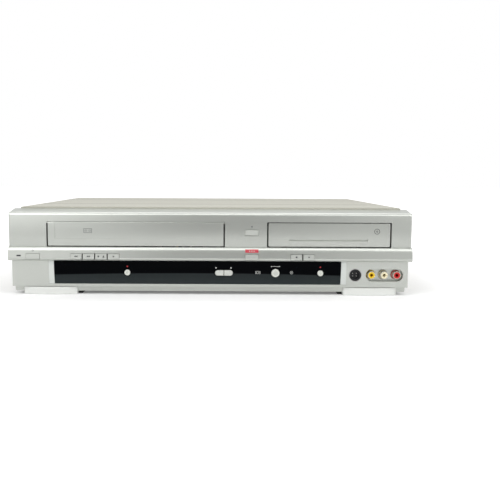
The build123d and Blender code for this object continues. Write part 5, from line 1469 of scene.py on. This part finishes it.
@dataclass
class Studio:
    """Pale floor, soft lights, the room that gloss sees, and the camera."""

    floor_size: float = 14.0
    floor_tone: Colour = (0.90, 0.90, 0.90)
    floor_roughness: float = 0.9
    floor_gloss: float = 0.1
    near_glow: float = 0.16  # of the floor to the camera, beside the deck
    far_glow: float = 0.75
    glow_reach: tuple[float, float] = (0.02, 0.20)
    lamps: tuple[Lamp, ...] = (
        Lamp("key_softbox", (-1.1, -1.5, 1.5), (1.3, 0.9), 12.0),
        Lamp("fill_softbox", (1.3, -1.3, 1.2), (0.9, 0.9), 9.0),
        Lamp("top_softbox", (0.0, 1.0, 1.6), (1.8, 1.0), 9.0),
        Lamp("floor_softbox", (0.0, -0.52, 0.75), (1.1, 0.30), 1.8, aim=(0.0, -0.52, 0.0)))
    # the room: how bright matt surfaces and gloss see it, and where, by direction
    room_light: float = 0.50
    room_gloss: float = 0.72
    left_gloss: float = 0.54
    right_gloss: float = 0.66
    window_gloss: float = 0.85
    ahead_range: tuple[float, float] = (-0.75, -0.95)
    low_range: tuple[float, float] = (0.75, 0.40)
    left_range: tuple[float, float] = (-0.02, -0.30)
    right_range: tuple[float, float] = (0.03, 0.22)
    window_range: tuple[float, float] = (0.05, 0.55)
    window_edge: float = 0.10
    # the camera, where the photograph was taken from
    lens: float = 52.4
    sensor: float = 36.0
    camera_place: tuple[float, float, float] = (0.00884, -0.95648, 0.12835)
    pitch: float = math.radians(5.45)
    roll: float = math.radians(0.263)
    shift: tuple[float, float] = (0.0631, -0.0090)
    nearest: float = 0.05

    def build(self) -> None:
        """Sets up everything around the deck."""
        self.floor()
        self.room()
        for lamp in self.lamps:
            lamp.light()
        self.camera()
        bpy.context.scene.view_settings.view_transform = "Standard"

    def floor(self) -> None:
        """A pale floor that is white to the camera and keeps the deck's shadow."""
        Bench.clear()
        bpy.ops.mesh.primitive_plane_add(size=self.floor_size)
        floor = bpy.context.object
        floor.name = "studio_floor"
        material = bpy.data.materials.new("pale_floor")
        material.use_nodes = True
        sheet = NodeSheet(material.node_tree)
        shader = material.node_tree.nodes["Principled BSDF"]
        shader.inputs["Base Color"].default_value = (*self.floor_tone, 1.0)
        shader.inputs["Roughness"].default_value = self.floor_roughness
        shader.inputs["Specular IOR Level"].default_value = self.floor_gloss
        path = sheet.add("ShaderNodeLightPath")
        shader.inputs["Emission Color"].default_value = (1.0, 1.0, 1.0, 1.0)
        low, high = CAD_BOX
        x, y, _ = sheet.axes()
        gaps = [abs(axis - (low[index] + high[index]) / 2) - (high[index] - low[index]) / 2
                for index, axis in enumerate((x, y))]
        away = gaps[0].math("MAXIMUM", gaps[0], gaps[1])
        glow = self.near_glow + sheet.ramp(away, *self.glow_reach) * (self.far_glow - self.near_glow)
        sheet.feed(shader.inputs["Emission Strength"], Wire(sheet, path.outputs["Is Camera Ray"]) * glow)
        floor.data.materials.append(material)

    def room(self) -> None:
        """White to the camera, plain to matt surfaces, shaded for gloss: dimmer low in front of the deck."""
        world = bpy.data.worlds.new("room")
        bpy.context.scene.world = world
        world.use_nodes = True
        sheet = NodeSheet(world.node_tree)
        back = world.node_tree.nodes["Background"]
        back.inputs["Color"].default_value = (1.0, 1.0, 1.0, 1.0)
        way = sheet.add("ShaderNodeTexCoord").outputs["Generated"]
        split = sheet.add("ShaderNodeSeparateXYZ", sockets={0: Wire(sheet, way)})
        x, y, z = (Wire(sheet, output) for output in split.outputs)
        tiny = 0.0001  # keeps a division off zero
        flat = (x ** 2.0 + y ** 2.0) ** 0.5
        side = x / (flat + tiny)
        ahead = sheet.ramp(y / (flat + tiny), *self.ahead_range)
        low = sheet.ramp(z, *self.low_range)
        left = sheet.ramp(side, *self.left_range)
        right = sheet.ramp(side, *self.right_range)
        dim = ahead * low
        window = left * ahead * sheet.within(z, *self.window_range, self.window_edge)
        dark = self.room_gloss - left * self.left_gloss - right * self.right_gloss
        gloss = self.room_gloss - dim * dark + window * self.window_gloss
        path = sheet.add("ShaderNodeLightPath")
        camera = Wire(sheet, path.outputs["Is Camera Ray"])
        glossy = Wire(sheet, path.outputs["Is Glossy Ray"])
        clear = Wire(sheet, path.outputs["Is Transmission Ray"])
        shiny = glossy.math("MAXIMUM", glossy, clear) * (1.0 - camera)
        matt = (1.0 - camera) * (1.0 - shiny / (shiny + tiny))
        strength = camera + shiny * gloss + matt * self.room_light
        sheet.feed(back.inputs["Strength"], strength)

    def camera(self) -> None:
        """The camera, level with the front and a little above it."""
        data = bpy.data.cameras.new("camera")
        data.lens = self.lens
        data.sensor_width = self.sensor
        data.shift_x, data.shift_y = self.shift
        data.clip_start = self.nearest
        camera = bpy.data.objects.new("camera", data)
        bpy.context.collection.objects.link(camera)
        look = Matrix.Rotation(math.pi / 2 - self.pitch, 4, "X")
        turned = look @ Matrix.Rotation(self.roll, 4, "Z")
        camera.matrix_world = Matrix.Translation(self.camera_place) @ turned
        bpy.context.scene.camera = camera


def main() -> None:
    """Builds the sub-assemblies in order, then the studio."""
    logging.basicConfig(level=logging.INFO, format="%(name)s: %(message)s")
    for part in (Casing(), ControlPanel(), Sockets(), TapeDeck(), DiscDrive(), Electronics(), Studio()):
        LOG.info("building %s", type(part).__name__)
        part.build()


if __name__ == "__main__":
    main()
